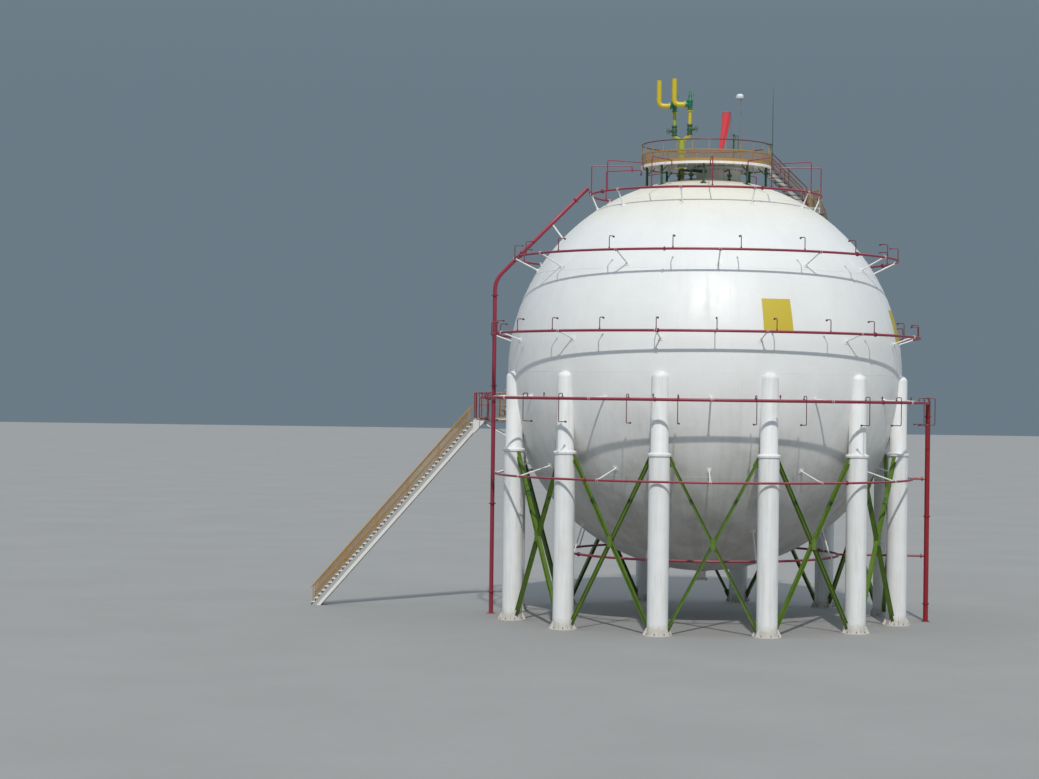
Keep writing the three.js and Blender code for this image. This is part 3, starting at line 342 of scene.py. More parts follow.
# %% The tree that puts copies on points
def new_tree(name, inputs):
    """An empty Geometry Nodes tree with named inputs: (name, socket type, value)."""
    tree = bpy.data.node_groups.new(name, "GeometryNodeTree")
    face = tree.interface
    face.new_socket("Geometry", in_out="INPUT", socket_type="NodeSocketGeometry")
    for label, kind, value in inputs:
        socket = face.new_socket(label, in_out="INPUT", socket_type=kind)
        if value is not None:
            socket.default_value = value
    face.new_socket("Geometry", in_out="OUTPUT", socket_type="NodeSocketGeometry")
    given = tree.nodes.new("NodeGroupInput")
    result = tree.nodes.new("NodeGroupOutput")
    return tree, given, result


def chain(tree, *links):
    """Links (output socket, input socket) pairs."""
    for source, target in links:
        tree.links.new(source, target)


def build_copies_tree():
    tree, given, result = new_tree(
        "copies_on_points",
        [
            ("Template", "NodeSocketObject", None),
            ("Size", "NodeSocketFloat", 1.0),
            ("Finish", "NodeSocketMaterial", None),
        ],
    )
    turn = tree.nodes.new("GeometryNodeInputNamedAttribute")
    turn.data_type = "FLOAT_VECTOR"
    turn.inputs["Name"].default_value = "turn"
    to_rotation = tree.nodes.new("FunctionNodeEulerToRotation")
    source = tree.nodes.new("GeometryNodeObjectInfo")
    copies = tree.nodes.new("GeometryNodeInstanceOnPoints")
    size = tree.nodes.new("ShaderNodeCombineXYZ")
    solid = tree.nodes.new("GeometryNodeRealizeInstances")
    finish = tree.nodes.new("GeometryNodeSetMaterial")
    chain(
        tree,
        (given.outputs["Template"], source.inputs["Object"]),
        (given.outputs["Geometry"], copies.inputs["Points"]),
        (source.outputs["Geometry"], copies.inputs["Instance"]),
        (turn.outputs["Attribute"], to_rotation.inputs[0]),
        (to_rotation.outputs[0], copies.inputs["Rotation"]),
        *[(given.outputs["Size"], size.inputs[k]) for k in range(3)],
        (size.outputs[0], copies.inputs["Scale"]),
        (copies.outputs["Instances"], solid.inputs["Geometry"]),
        (solid.outputs["Geometry"], finish.inputs["Geometry"]),
        (given.outputs["Finish"], finish.inputs["Material"]),
        (finish.outputs["Geometry"], result.inputs["Geometry"]),
    )
    return tree


copies_tree = build_copies_tree()


def run_tree(tree, base_mesh, values):
    """Applies a tree to a mesh and returns the result as a plain mesh."""
    carrier = bpy.data.objects.new("carrier", base_mesh)
    bpy.context.scene.collection.objects.link(carrier)
    modifier = carrier.modifiers.new("nodes", "NODES")
    modifier.node_group = tree
    for item in tree.interface.items_tree:
        if item.item_type == "SOCKET" and item.in_out == "INPUT" and item.name in values:
            modifier[item.identifier] = values[item.name]
    evaluated = carrier.evaluated_get(bpy.context.evaluated_depsgraph_get())
    mesh = bpy.data.meshes.new_from_object(evaluated)
    carrier.modifiers.remove(modifier)
    bpy.data.objects.remove(carrier)
    return mesh


def copies(name, template, places, material, slot, replaced=(), size=1.0):
    """Copies of a template shape at (point, (turn x, turn y, turn z)) places."""
    template_mesh = mesh_of(template, name + "_template")
    source = bpy.data.objects.new(name + "_template", template_mesh)
    bpy.context.scene.collection.objects.link(source)
    cloud = bpy.data.meshes.new(name + "_cloud")
    cloud.from_pydata([tuple(point) for point, _ in places], [], [])
    turns = cloud.attributes.new("turn", "FLOAT_VECTOR", "POINT")
    turns.data.foreach_set("vector", [angle for _, turn in places for angle in turn])
    mesh = run_tree(copies_tree, cloud, {"Template": source, "Size": size, "Finish": material})
    bpy.data.objects.remove(source)
    for attribute in list(mesh.attributes):
        if attribute.name == "turn":
            mesh.attributes.remove(attribute)
    return place(mesh, name, material, replaced)


def round_the_axis(azimuths):
    """Places that turn a template made at azimuth 0 to each azimuth."""
    return [((0, 0, 0), (0, 0, math.radians(a))) for a in azimuths]


# %% [markdown]
# ## Strands with Geometry Nodes
#
# The rails are filled with diamond mesh. Each strand is only a thin line until the second
# tree sweeps a small section along it, so the look of the mesh hangs on two numbers: its
# pitch and its thickness.

# %% The tree that thickens lines
def build_strands_tree():
    tree, given, result = new_tree(
        "strands_from_lines",
        [
            ("Thickness", "NodeSocketFloat", 0.012),
            ("Sides", "NodeSocketInt", 4),
            ("Finish", "NodeSocketMaterial", None),
        ],
    )
    lines = tree.nodes.new("GeometryNodeMeshToCurve")
    section = tree.nodes.new("GeometryNodeCurvePrimitiveCircle")
    half = tree.nodes.new("ShaderNodeMath")
    half.operation = "MULTIPLY"
    half.inputs[1].default_value = 0.5
    sweep = tree.nodes.new("GeometryNodeCurveToMesh")
    sweep.inputs["Fill Caps"].default_value = True
    solid = tree.nodes.new("GeometryNodeRealizeInstances")
    finish = tree.nodes.new("GeometryNodeSetMaterial")
    chain(
        tree,
        (given.outputs["Geometry"], lines.inputs["Mesh"]),
        (given.outputs["Thickness"], half.inputs[0]),
        (given.outputs["Sides"], section.inputs["Resolution"]),
        (half.outputs[0], section.inputs["Radius"]),
        (lines.outputs["Curve"], sweep.inputs["Curve"]),
        (section.outputs["Curve"], sweep.inputs["Profile Curve"]),
        (sweep.outputs["Mesh"], solid.inputs["Geometry"]),
        (solid.outputs["Geometry"], finish.inputs["Geometry"]),
        (given.outputs["Finish"], finish.inputs["Material"]),
        (finish.outputs["Geometry"], result.inputs["Geometry"]),
    )
    return tree


strands_tree = build_strands_tree()
STRAND_SIDES = 4


def strands(name, lines, thickness, material):
    """Thin bars along lists of points."""
    points, edges = [], []
    for line in lines:
        start = len(points)
        points.extend(tuple(p) for p in line)
        edges.extend((start + k, start + k + 1) for k in range(len(line) - 1))
    base = bpy.data.meshes.new(name + "_lines")
    base.from_pydata(points, edges, [])
    values = {"Thickness": thickness, "Sides": STRAND_SIDES, "Finish": material}
    return place(run_tree(strands_tree, base, values), name, material)


# %% [markdown]
# ## Shader maths that reads like sums
#
# A weathered finish is a stack of masks: streaks times grime plus chips. Written as node
# clicks that is hard to follow, so a small class wraps a socket and turns `+`, `*` and
# `-` into Math nodes. `1 - mask` works as well.

# %% The socket class and the finish builder
def is_socket(value):
    return isinstance(value, Socket)


class Socket:
    """An output of a node, with sums that add Math nodes."""

    def __init__(self, finish, output):
        self.finish = finish
        self.output = output

    def sum(self, operation, first, second):
        node = self.finish.tree.nodes.new("ShaderNodeMath")
        node.operation = operation
        for index, value in enumerate((first, second)):
            self.finish.feed(node.inputs[index], value)
        return Socket(self.finish, node.outputs[0])

    def __add__(self, other):
        return self.sum("ADD", self, other)

    def __sub__(self, other):
        return self.sum("SUBTRACT", self, other)

    def __mul__(self, other):
        return self.sum("MULTIPLY", self, other)

    def __truediv__(self, other):
        return self.sum("DIVIDE", self, other)

    def __radd__(self, other):
        return self.sum("ADD", other, self)

    def __rsub__(self, other):
        return self.sum("SUBTRACT", other, self)

    def __rmul__(self, other):
        return self.sum("MULTIPLY", other, self)

    def power(self, other):
        return self.sum("POWER", self, other)

class Finish:
    """A material under construction."""

    def __init__(self, name):
        self.material = bpy.data.materials.new(name)
        self.material.use_nodes = True
        self.tree = self.material.node_tree
        self.shader = self.tree.nodes["Principled BSDF"]
        self.position = self.node("ShaderNodeTexCoord").outputs["Object"]

    def feed(self, target, value):
        if is_socket(value):
            self.tree.links.new(value.output, target)
        elif hasattr(value, "is_output"):
            self.tree.links.new(value, target)
        elif value is not None:
            target.default_value = value

    def node(self, kind, settings=None, **inputs):
        """Any node: its settings first, then values or links for its sockets."""
        made = self.tree.nodes.new(kind)
        for key, value in (settings or {}).items():
            setattr(made, key, value)
        for key, value in inputs.items():
            self.feed(made.inputs[key.replace("_", " ")], value)
        return made

    def value(self, node, output=0):
        return Socket(self, node.outputs[output])

    def noise(self, scale, detail=3.0, roughness=0.55, position=None):
        """Cloudy values from 0 to 1."""
        made = self.node(
            "ShaderNodeTexNoise",
            Vector=position or self.position,
            Scale=scale,
            Detail=detail,
            Roughness=roughness,
        )
        return self.value(made, "Fac")

    def span(self, value, low, high):
        """Maps a range of values to 0 and 1, smoothly and held at its ends."""
        made = self.node("ShaderNodeMapRange", {"interpolation_type": "SMOOTHSTEP"})
        self.feed(made.inputs["Value"], value)
        made.inputs["From Min"].default_value = low
        made.inputs["From Max"].default_value = high
        return self.value(made)

    def centred(self):
        """Positions measured from the tank's axis."""
        moved = self.node("ShaderNodeMapping", Vector=self.position)
        moved.inputs["Location"].default_value = (-AXIS.x, -AXIS.y, 0)
        return moved.outputs[0]

    def stretched(self, x, y, z):
        """Positions scaled along each direction, for a pattern that runs one way."""
        scaled = self.node("ShaderNodeMapping", Vector=self.position)
        scaled.inputs["Scale"].default_value = (x, y, z)
        return scaled.outputs[0]

    def parts(self, position=None):
        """The x, y and z of a position."""
        made = self.node("ShaderNodeSeparateXYZ", Vector=position or self.position)
        return [self.value(made, k) for k in range(3)]

    def vector(self, *parts):
        """A position from three values."""
        x, y, z = (part.output for part in parts)
        return self.node("ShaderNodeCombineXYZ", X=x, Y=y, Z=z).outputs[0]

    def blend(self, mask, first, second):
        """One colour over another through a mask."""
        made = self.node("ShaderNodeMix", {"data_type": "RGBA"})
        self.feed(made.inputs[0], mask)
        for index, colour in ((6, first), (7, second)):
            if isinstance(colour, tuple) and len(colour) == 3:
                colour = (*colour, 1)
            self.feed(made.inputs[index], colour)
        return made.outputs[2]

    def bump(self, height, strength, distance):
        """Small relief that only shows in how the light falls."""
        made = self.node("ShaderNodeBump", Height=height)
        made.inputs["Strength"].default_value = strength
        made.inputs["Distance"].default_value = distance
        self.tree.links.new(made.outputs[0], self.shader.inputs["Normal"])

    def set(self, **inputs):
        for key, value in inputs.items():
            self.feed(self.shader.inputs[key.replace("_", " ")], value)
        return self


# %% [markdown]
# ## Floor and light
#
# A pale floor carries the shadows. The photograph's sun is behind the camera, a little to
# the right and about 45 degrees high: each ring throws its shadow on the plates about as
# far down as it stands off. The sky is dim along the horizon, so that white paint stands
# out against it, and bright overhead, where it fills in the shade.

# %% Floor and light
FLOOR_REACH = 700


def lay_floor():
    """One wide sheet, marked as the stage."""
    mesh = bpy.data.meshes.new("studio_floor")
    corners = [
        (x * FLOOR_REACH, y * FLOOR_REACH, 0)
        for x, y in ((-1, -1), (1, -1), (1, 1), (-1, 1))
    ]
    mesh.from_pydata(corners, [], [(0, 1, 2, 3)])
    floor = bpy.data.objects.new("studio_floor", mesh)
    bpy.context.scene.collection.objects.link(floor)
    screed = Finish("pale_floor")
    worn = screed.span(screed.noise(0.12, detail=5), 0.35, 0.7)
    grit = screed.span(screed.noise(3.0, detail=6), 0.3, 0.75)
    colour = screed.blend(worn, (0.315, 0.31, 0.30), (0.335, 0.33, 0.32))
    screed.set(Base_Color=screed.blend(grit * 0.25, colour, (0.295, 0.29, 0.28)))
    screed.set(Roughness=0.9)
    mesh.materials.append(screed.material)


def hang_sun(elevation, to_the_right, strength, softness):
    """A sun behind the camera. All angles are in degrees."""
    data = bpy.data.lights.new("sun", "SUN")
    data.energy = strength
    data.angle = math.radians(softness)
    data.color = (1.0, 0.97, 0.92)
    sun = bpy.data.objects.new("sun", data)
    bpy.context.scene.collection.objects.link(sun)
    flat, rise = math.cos(math.radians(elevation)), math.sin(math.radians(elevation))
    side = math.radians(to_the_right)
    towards = Vector((flat * math.sin(side), -flat * math.cos(side), rise))
    sun.rotation_euler = towards.to_track_quat("Z", "Y").to_euler()


HORIZON_BAND = (0.12, 0.60)


def light_the_sky(low, high, strength):
    """A plain backdrop, dim along the horizon and bright overhead, the same all round."""
    world = bpy.data.worlds.new("plain_sky")
    bpy.context.scene.world = world
    world.use_nodes = True
    nodes, links = world.node_tree.nodes, world.node_tree.links
    direction = nodes.new("ShaderNodeTexCoord")
    parts = nodes.new("ShaderNodeSeparateXYZ")
    rise = nodes.new("ShaderNodeMapRange")
    rise.interpolation_type = "SMOOTHSTEP"
    rise.inputs["From Min"].default_value = HORIZON_BAND[0]
    rise.inputs["From Max"].default_value = HORIZON_BAND[1]
    blend = nodes.new("ShaderNodeMix")
    blend.data_type = "RGBA"
    blend.inputs[6].default_value = (*low, 1)
    blend.inputs[7].default_value = (*high, 1)
    background = nodes["Background"]
    background.inputs["Strength"].default_value = strength
    links.new(direction.outputs["Generated"], parts.inputs[0])
    links.new(parts.outputs["Z"], rise.inputs["Value"])
    links.new(rise.outputs["Result"], blend.inputs[0])
    links.new(blend.outputs[2], background.inputs["Color"])


lay_floor()
hang_sun(elevation=44, to_the_right=5, strength=2.25, softness=1.2)
light_the_sky(low=(0.16, 0.215, 0.26), high=(0.60, 0.69, 0.78), strength=0.92)
bpy.context.scene.view_settings.view_transform = "Standard"
print("floor, sun and sky are in")

# %% [markdown]
# ## The vessel's paint
#
# White gloss paint that has stood outdoors: creamier on the crown, where the sun and the
# dust fall, and greyer below the middle, partly from water that runs off and leaves
# streaks and partly as painted shade under the sphere's middle. The streaks have to follow
# the meridians, so their noise reads the direction from the axis instead of plain X and Y.

# %% Vessel paint
def streak_position(paint, pitch):
    """Positions that change quickly round the axis and slowly up and down."""
    x, y, z = paint.parts(paint.centred())
    reach = (x * x + y * y + 0.01).power(0.5)
    return paint.vector(x / reach * pitch, y / reach * pitch, z * 0.12), z


def vessel_finish():
    paint = Finish("weathered_white_paint")
    along, z = streak_position(paint, 9.0)
    runs = paint.span(paint.noise(3.2, detail=6, roughness=0.62, position=along), 0.46, 0.74)
    broad = paint.span(paint.noise(0.8, detail=3, position=along), 0.36, 0.68)
    cloud = paint.span(paint.noise(0.33, detail=5, roughness=0.6), 0.35, 0.7)
    smudge = paint.span(paint.noise(0.55, detail=7, roughness=0.66), 0.42, 0.66)
    # low grows towards the bottom; the grey it brings is partly wet grime and partly painted
    # shade.
    low = paint.span(z, 12.6, 4.6)
    crown = paint.span(z, 18.6, 21.6)
    white = paint.blend(cloud * 0.35, (0.80, 0.81, 0.80), (0.70, 0.71, 0.70))
    creamy = paint.blend(crown * 0.6, white, (0.80, 0.74, 0.57))
    # Painted shade: the lower half greys towards the bottom, partly as grime and partly as the
    # shade under the sphere.
    shaded_and_grimed = paint.blend(low * (0.50 + broad * 0.22), creamy, (0.47, 0.46, 0.44))
    clouded = paint.blend(smudge * (0.06 + low * 0.42), shaded_and_grimed, (0.36, 0.34, 0.305))
    streaked = paint.blend(runs * (0.05 + low * 0.16), clouded, (0.36, 0.33, 0.29))
    specks = paint.span(paint.noise(5.0, detail=8, roughness=0.7), 0.66, 0.74)
    paint.set(Base_Color=paint.blend(specks * 0.3, streaked, (0.36, 0.28, 0.20)))
    paint.set(Roughness=0.38 + cloud * 0.16 + runs * 0.12)
    peel = paint.noise(38, detail=2)
    dents = paint.noise(0.55, detail=2)
    paint.bump(peel * 0.05 + dents, 0.35, 0.05)
    return paint.material


vessel_paint = vessel_finish()

# %% [markdown]
# ## Paint on columns and braces
#
# The columns are white over their fireproofing, splashed with soil at the foot and
# stained where rain leaves the collar. The braces are a strong yellow-green, rubbed and
# faded on their outer faces. One recipe with other colours serves both, and the struts and
# a cream white as well, whose extra brightness is painted light: it stands in for light
# bounced into the shade under the platform, on the drum and deck.

# %% Column and brace paint
def splashed_finish(name, main, faded, grime, splash_height, roughness):
    """Paint with rain runs, rust chips and soil splashed up to a height."""
    paint = Finish(name)
    _, _, z = paint.parts()
    upright = paint.stretched(2.2, 2.2, 0.16)
    runs = paint.span(paint.noise(2.4, detail=6, position=upright), 0.45, 0.75)
    cloud = paint.span(paint.noise(1.1, detail=5), 0.35, 0.7)
    splash = paint.span(z, splash_height, 0.0)
    ragged = paint.span(splash + paint.noise(5.0, detail=6) * 0.8, 0.75, 1.35)
    chips = paint.span(paint.noise(16, detail=9, roughness=0.72), 0.665, 0.70)
    colour = paint.blend(cloud * 0.5, main, faded)
    colour = paint.blend(runs * 0.35, colour, grime)
    colour = paint.blend(ragged * 0.75, colour, grime)
    paint.set(Base_Color=paint.blend(chips * 0.8, colour, (0.20, 0.085, 0.035)))
    paint.set(Roughness=roughness + cloud * 0.15 + ragged * 0.2)
    paint.bump(paint.noise(30, detail=4) * 0.6 - chips * 0.5, 0.25, 0.012)
    return paint.material


column_paint = splashed_finish(
    "column_white", (0.80, 0.81, 0.81), (0.71, 0.72, 0.71), (0.52, 0.48, 0.42), 1.0, 0.5
)
brace_paint = splashed_finish(
    "brace_green", (0.088, 0.172, 0.014), (0.155, 0.245, 0.034), (0.06, 0.085, 0.03), 1.2, 0.38
)
strut_paint = splashed_finish(
    "strut_white", (0.82, 0.82, 0.80), (0.74, 0.74, 0.72), (0.5, 0.46, 0.4), 0.3, 0.45
)
# Painted light: this cream white is brighter than the other whites to stand in for light bounced
# into the platform's shade.
bounce_lit_cream_paint = splashed_finish(
    "cream_white_with_painted_bounce_light", (0.90, 0.89, 0.85), (0.86, 0.84, 0.79), (0.42, 0.36, 0.28), 0.3, 0.42
)
print("white, green and cream paints mixed")

# %% [markdown]
# ## Water pipe red and the smaller paints
#
# Fire water pipes are painted crimson, and paler towards a chalky rose on top: partly paint
# that the sun has faded, and partly painted light where faces look up at the sun and sky.
# This needs no picture: a face's own normal says how far it looks upwards.

# %% Paint that fades, and is painted lighter, where it faces the sky
RUST = (0.17, 0.07, 0.03)


def faded_and_top_lit_finish(name, main, faded, roughness, scale=1.0, chipping=0.68, chip=RUST):
    """Paint paler on its side towards the sky, partly faded and partly painted light, with small
    chips down to another colour.
    """
    paint = Finish(name)
    normal = paint.node("ShaderNodeNewGeometry").outputs["Normal"]
    _, _, lift = paint.parts(normal)
    cloud = paint.span(paint.noise(1.6 * scale, detail=5), 0.32, 0.7)
    fine = paint.noise(22 * scale, detail=6, roughness=0.65)
    # Painted light: faces that look upwards turn paler, partly as sun-faded paint and partly as
    # the light from above painted in.
    faded_and_lit_top = paint.span(lift, 0.15, 0.95) * (0.35 + cloud * 0.5)
    colour = paint.blend(faded_and_lit_top, main, faded)
    chips = paint.span(fine, chipping, chipping + 0.03)
    paint.set(Base_Color=paint.blend(chips * 0.85, colour, chip))
    paint.set(Roughness=roughness + cloud * 0.14 + chips * 0.25)
    paint.bump(fine * 0.5 - chips * 0.6, 0.12, 0.003)
    return paint.material


pipe_paint = faded_and_top_lit_finish("crimson_pipe_paint", (0.27, 0.024, 0.052), (0.42, 0.14, 0.17), 0.34)
riser_paint = faded_and_top_lit_finish(
    "bright_red_riser_paint", (0.27, 0.013, 0.022), (0.34, 0.035, 0.04), 0.32
)
rail_paint = faded_and_top_lit_finish("amber_rail_paint", (0.43, 0.25, 0.07), (0.55, 0.38, 0.17), 0.42)
mesh_paint = faded_and_top_lit_finish("brown_mesh_paint", (0.24, 0.17, 0.10), (0.34, 0.26, 0.17), 0.5)
rail_mesh_paint = faded_and_top_lit_finish("amber_mesh_paint", (0.34, 0.22, 0.10), (0.44, 0.32, 0.18), 0.5)
shade_grey_paint = faded_and_top_lit_finish("grey_web_paint", (0.40, 0.40, 0.39), (0.55, 0.55, 0.54), 0.5)
stair_paint = faded_and_top_lit_finish("stair_white", (0.74, 0.73, 0.70), (0.82, 0.81, 0.78), 0.45)
dark_steel_and_shade_paint = faded_and_top_lit_finish("dark_tread_steel_and_painted_shade", (0.10, 0.085, 0.07), (0.17, 0.14, 0.11), 0.6)
olive_paint = faded_and_top_lit_finish(
    "olive_pipe_paint", (0.33, 0.38, 0.03), (0.46, 0.46, 0.06), 0.38, 0.5, 0.72
)
leg_paint = faded_and_top_lit_finish("dark_green_legs", (0.035, 0.10, 0.05), (0.07, 0.16, 0.08), 0.42)
lamp_grey = faded_and_top_lit_finish("lamp_grey_enamel", (0.60, 0.66, 0.70), (0.70, 0.74, 0.76), 0.35)
valve_paint = faded_and_top_lit_finish(
    "green_valve_enamel", (0.012, 0.16, 0.08), (0.04, 0.24, 0.13), 0.25, 0.5, 0.72
)
vent_paint = faded_and_top_lit_finish(
    "yellow_vent_paint", (0.60, 0.48, 0.02), (0.72, 0.60, 0.07), 0.3, 0.5, 0.72,
    chip=(0.36, 0.24, 0.03),
)
sign_paint = faded_and_top_lit_finish(
    "plain_yellow_panel",
    (0.55, 0.43, 0.03),
    (0.60, 0.50, 0.09),
    0.4,
    0.4,
    chip=(0.50, 0.40, 0.12),
)
sock_cloth = faded_and_top_lit_finish(
    "faded_red_cloth", (0.70, 0.06, 0.08), (0.78, 0.17, 0.19), 0.8, 2.0, 0.75,
    chip=(0.40, 0.05, 0.05),
)
maroon_paint = faded_and_top_lit_finish("maroon_rail_paint", (0.13, 0.02, 0.03), (0.20, 0.06, 0.06), 0.4)
print(len(bpy.data.materials), "finishes mixed so far")

# %% [markdown]
# ## Bare steel
#
# Two masts and the anchor bolts are galvanised. Zinc grows in flat crystals that each shine
# a little differently, so the spangle goes into the roughness as well as the colour.

# %% Galvanised steel
def zinc_finish():
    zinc = Finish("galvanised_steel")
    cells = zinc.node("ShaderNodeTexVoronoi", Vector=zinc.position, Scale=55.0)
    spangle = zinc.span(zinc.value(cells, 0), 0.0, 0.9)
    dull = zinc.span(zinc.noise(3.0, detail=5), 0.35, 0.7)
    zinc.set(Base_Color=zinc.blend(dull, (0.30, 0.32, 0.34), (0.20, 0.21, 0.22)))
    zinc.set(Metallic=0.6, Roughness=0.38 + spangle * 0.18 + dull * 0.12)
    return zinc.material


zinc_steel = zinc_finish()

# %% [markdown]
# ## The vessel
#
# The model's plates are flat facets, enough for size and weight. Real plates are pressed
# to a true curve, so the vessel is turned anew with far more facets. The welds stay
# proud: a bead a few millimetres high runs along every seam.

# %% Vessel and its welds
BELTS = ("crown", "upper_belt", "equator_belt", "lower_belt", "bottom")
SHELL_NODES = [f"shell_{belt}" for belt in BELTS]


def shell_point(theta, azimuth):
    """A point on the plates from its angle off the top, in degrees, and its azimuth."""
    angle = math.radians(theta)
    return polar(
        azimuth, VESSEL_RADIUS * math.sin(angle), EQUATOR + VESSEL_RADIUS * math.cos(angle)
    )


BANDS = 90
profile = []
for step in range(BANDS + 1):
    angle = math.pi * (1 - step / BANDS)
    reach = VESSEL_RADIUS * math.sin(angle) if 0 < step < BANDS else 0
    profile.append([abs(reach), EQUATOR + VESSEL_RADIUS * math.cos(angle)])
piece("vessel", Shape().turned(profile, sides=144), vessel_paint, SHELL_NODES)

SEAM_ANGLES = [30, 60, 90, 120, 150]
# How many meridian seams each belt has, between two angles off the top
PETALS = {(2, 30): 6, (30, 60): 16, (60, 90): 24, (90, 120): 24, (120, 150): 16, (150, 178): 6}
seams = [[shell_point(theta, a * 2.5) for a in range(145)] for theta in SEAM_ANGLES]
for (top, bottom), count in PETALS.items():
    for k in range(count):
        azimuth = 360 / count * (k + 0.5) + (top % 60) * 0.1
        seams.append([shell_point(top + (bottom - top) * i / 8, azimuth) for i in range(9)])
strands("weld_beads", seams, 0.016, vessel_paint)

# %% [markdown]
# ## Columns
#
# Each column is a pipe in concrete fireproofing: the thick lower part ends in a sheet
# collar that throws rain clear, and the slimmer pipe above is welded to the plates and
# closed with a dished cap. Gussets and anchor bolts hold the foot.

# %% A column, then twelve
SLEEVE, UPPER_PIPE = 0.5, 0.42
CAP_FOOT, CAP_RISE = 12.03, 0.30


def column_outline():
    """The column's profile from its foot to the middle of its cap."""
    outline = [[SLEEVE, 0.045], [SLEEVE, 8.34], [0.555, 8.36], [0.56, 8.38], [0.56, 8.45]]
    outline += [[0.545, 8.47], [0.43, 8.525], [UPPER_PIPE, 8.54], [UPPER_PIPE, CAP_FOOT]]
    for step in range(1, 7):
        turn = math.radians(15 * step)
        reach = UPPER_PIPE * math.cos(turn) if step < 6 else 0
        outline.append([reach, CAP_FOOT + CAP_RISE * math.sin(turn)])
    return outline


def column_template():
    """The column with its base plate and gussets, at azimuth zero."""
    shape = Shape()
    foot = RIGHT * COLUMN_RADIUS
    shape.turned(column_outline(), foot, sides=32)
    shape.turned([[0.70, 0], [0.70, 0.045], [0.695, 0.05], [0.4, 0.05]], foot, sides=40)
    gusset = [(0.46, 0.048), (0.675, 0.048), (0.675, 0.10), (0.53, 0.36), (0.46, 0.36)]
    for k in range(8):
        out = polar(22.5 + 45 * k, 1, 0)
        side = UP.cross(out)
        rows = [[foot + out * r + UP * z + side * t for r, z in gusset] for t in (-0.01, 0.01)]
        shape.sections(rows)
    return shape


copies(
    "columns",
    column_template(),
    round_the_axis(COLUMN_AZIMUTHS),
    column_paint,
    "column_paint",
    [f"column_{k:02d}" for k in range(1, 13)],
)

# %% [markdown]
# ## Anchor bolts
#
# Eight bolts hold each foot. One bolt with its washer and nut is a handful of faces, and
# the copies tree puts 96 of them down. Their turns vary a little, as real nuts' turns do.

# %% Anchor bolts
def bolt_template(width, height, stud):
    """A stud with a hexagon nut and a washer, standing up from the origin."""
    shape = Shape()
    washer = [[width * 1.25, 0], [width * 1.25, height * 0.15], [width * 0.5, height * 0.15]]
    shape.turned(washer, sides=12)
    shape.turned([[width, height * 0.13], [width, height * 0.85], [width * 0.8, height]], sides=6)
    shape.turned(
        [[stud, height * 0.8], [stud, height * 1.6], [stud * 0.8, height * 1.68]], sides=8
    )
    return shape


BOLT_REACH = 0.60
bolt_places = []
chance = random.Random(7)
for azimuth in COLUMN_AZIMUTHS:
    centre = polar(azimuth, COLUMN_RADIUS, 0.05)
    for k in range(8):
        point = centre + polar(azimuth + 45 * k, 1, 0) * BOLT_REACH
        bolt_places.append((point, (0, 0, chance.uniform(0, 1))))
anchor_bolt = bolt_template(0.034, 0.05, 0.018)
copies("anchor_bolts", anchor_bolt, bolt_places, zinc_steel, "galvanised_steel")

# %% [markdown]
# ## Cross braces
#
# The braces are wide-flange beams that cross between neighbouring columns and stop them
# swaying. They lie with their webs flat, meet in a gusset and have a bolted splice halfway
# up each upper arm, whose dark paint is painted shadow: the lower ring's shadow falls
# there. The bay is made once, about azimuth zero, and copied round the axis.

# %% A braced bay, then twelve
BRACE_WIDTH, BRACE_DEPTH = 0.15, 0.20
BRACE_TOP, BRACE_BOTTOM = 8.18, 0.38
BRACE_MIDDLE = (BRACE_TOP + BRACE_BOTTOM) / 2
HALF_BAY = COLUMN_RADIUS * math.sin(math.radians(COLUMN_PITCH / 2))
BAY_REACH = COLUMN_RADIUS * math.cos(math.radians(COLUMN_PITCH / 2))
BRACE_SLOPE = (BRACE_TOP - BRACE_BOTTOM) / (2 * HALF_BAY - 2 * SLEEVE)
SPLICE_ASIDE = 1.02


def wide_flange(width, depth, flange=0.016, web=0.012):
    """An H outline, given as [across, over] corners."""
    w, d, t = width / 2, depth / 2, web / 2
    right = [(w, -d), (w, flange - d), (t, flange - d), (t, d - flange), (w, d - flange), (w, d)]
    return right + [(-a, -b) for a, b in right]


def brace_template():
    """Two crossing beams with end plates and a gusset on each side of the crossing."""
    shape = Shape()
    inset = HALF_BAY - SLEEVE + 0.06
    outline = [(over, across) for across, over in wide_flange(BRACE_DEPTH, BRACE_WIDTH)]
    for side in (-1, 1):
        start = Vector((BAY_REACH, -inset, BRACE_MIDDLE - side * BRACE_SLOPE * inset))
        end = Vector((BAY_REACH, inset, BRACE_MIDDLE + side * BRACE_SLOPE * inset))
        shape.section_bar(start, end, outline, RIGHT)
        along = (end - start).normalized()
        for point, way in ((start, 1), (end, -1)):
            centre = point + along * way * 0.22
            shape.box(centre, (0.44, 0.26, 0.020), (along, RIGHT.cross(along), RIGHT))
    for side in (-1, 1):
        centre = (BAY_REACH + side * 0.110, 0, BRACE_MIDDLE)
        shape.box(centre, (0.26, 0.52, 0.020), (BACK, UP, RIGHT))
    return shape


brace_azimuths = [azimuth + COLUMN_PITCH / 2 for azimuth in COLUMN_AZIMUTHS]
copies(
    "cross_braces",
    brace_template(),
    round_the_axis(brace_azimuths),
    brace_paint,
    "brace_paint",
    [f"brace_bay_{k:02d}" for k in range(1, 13)],
)


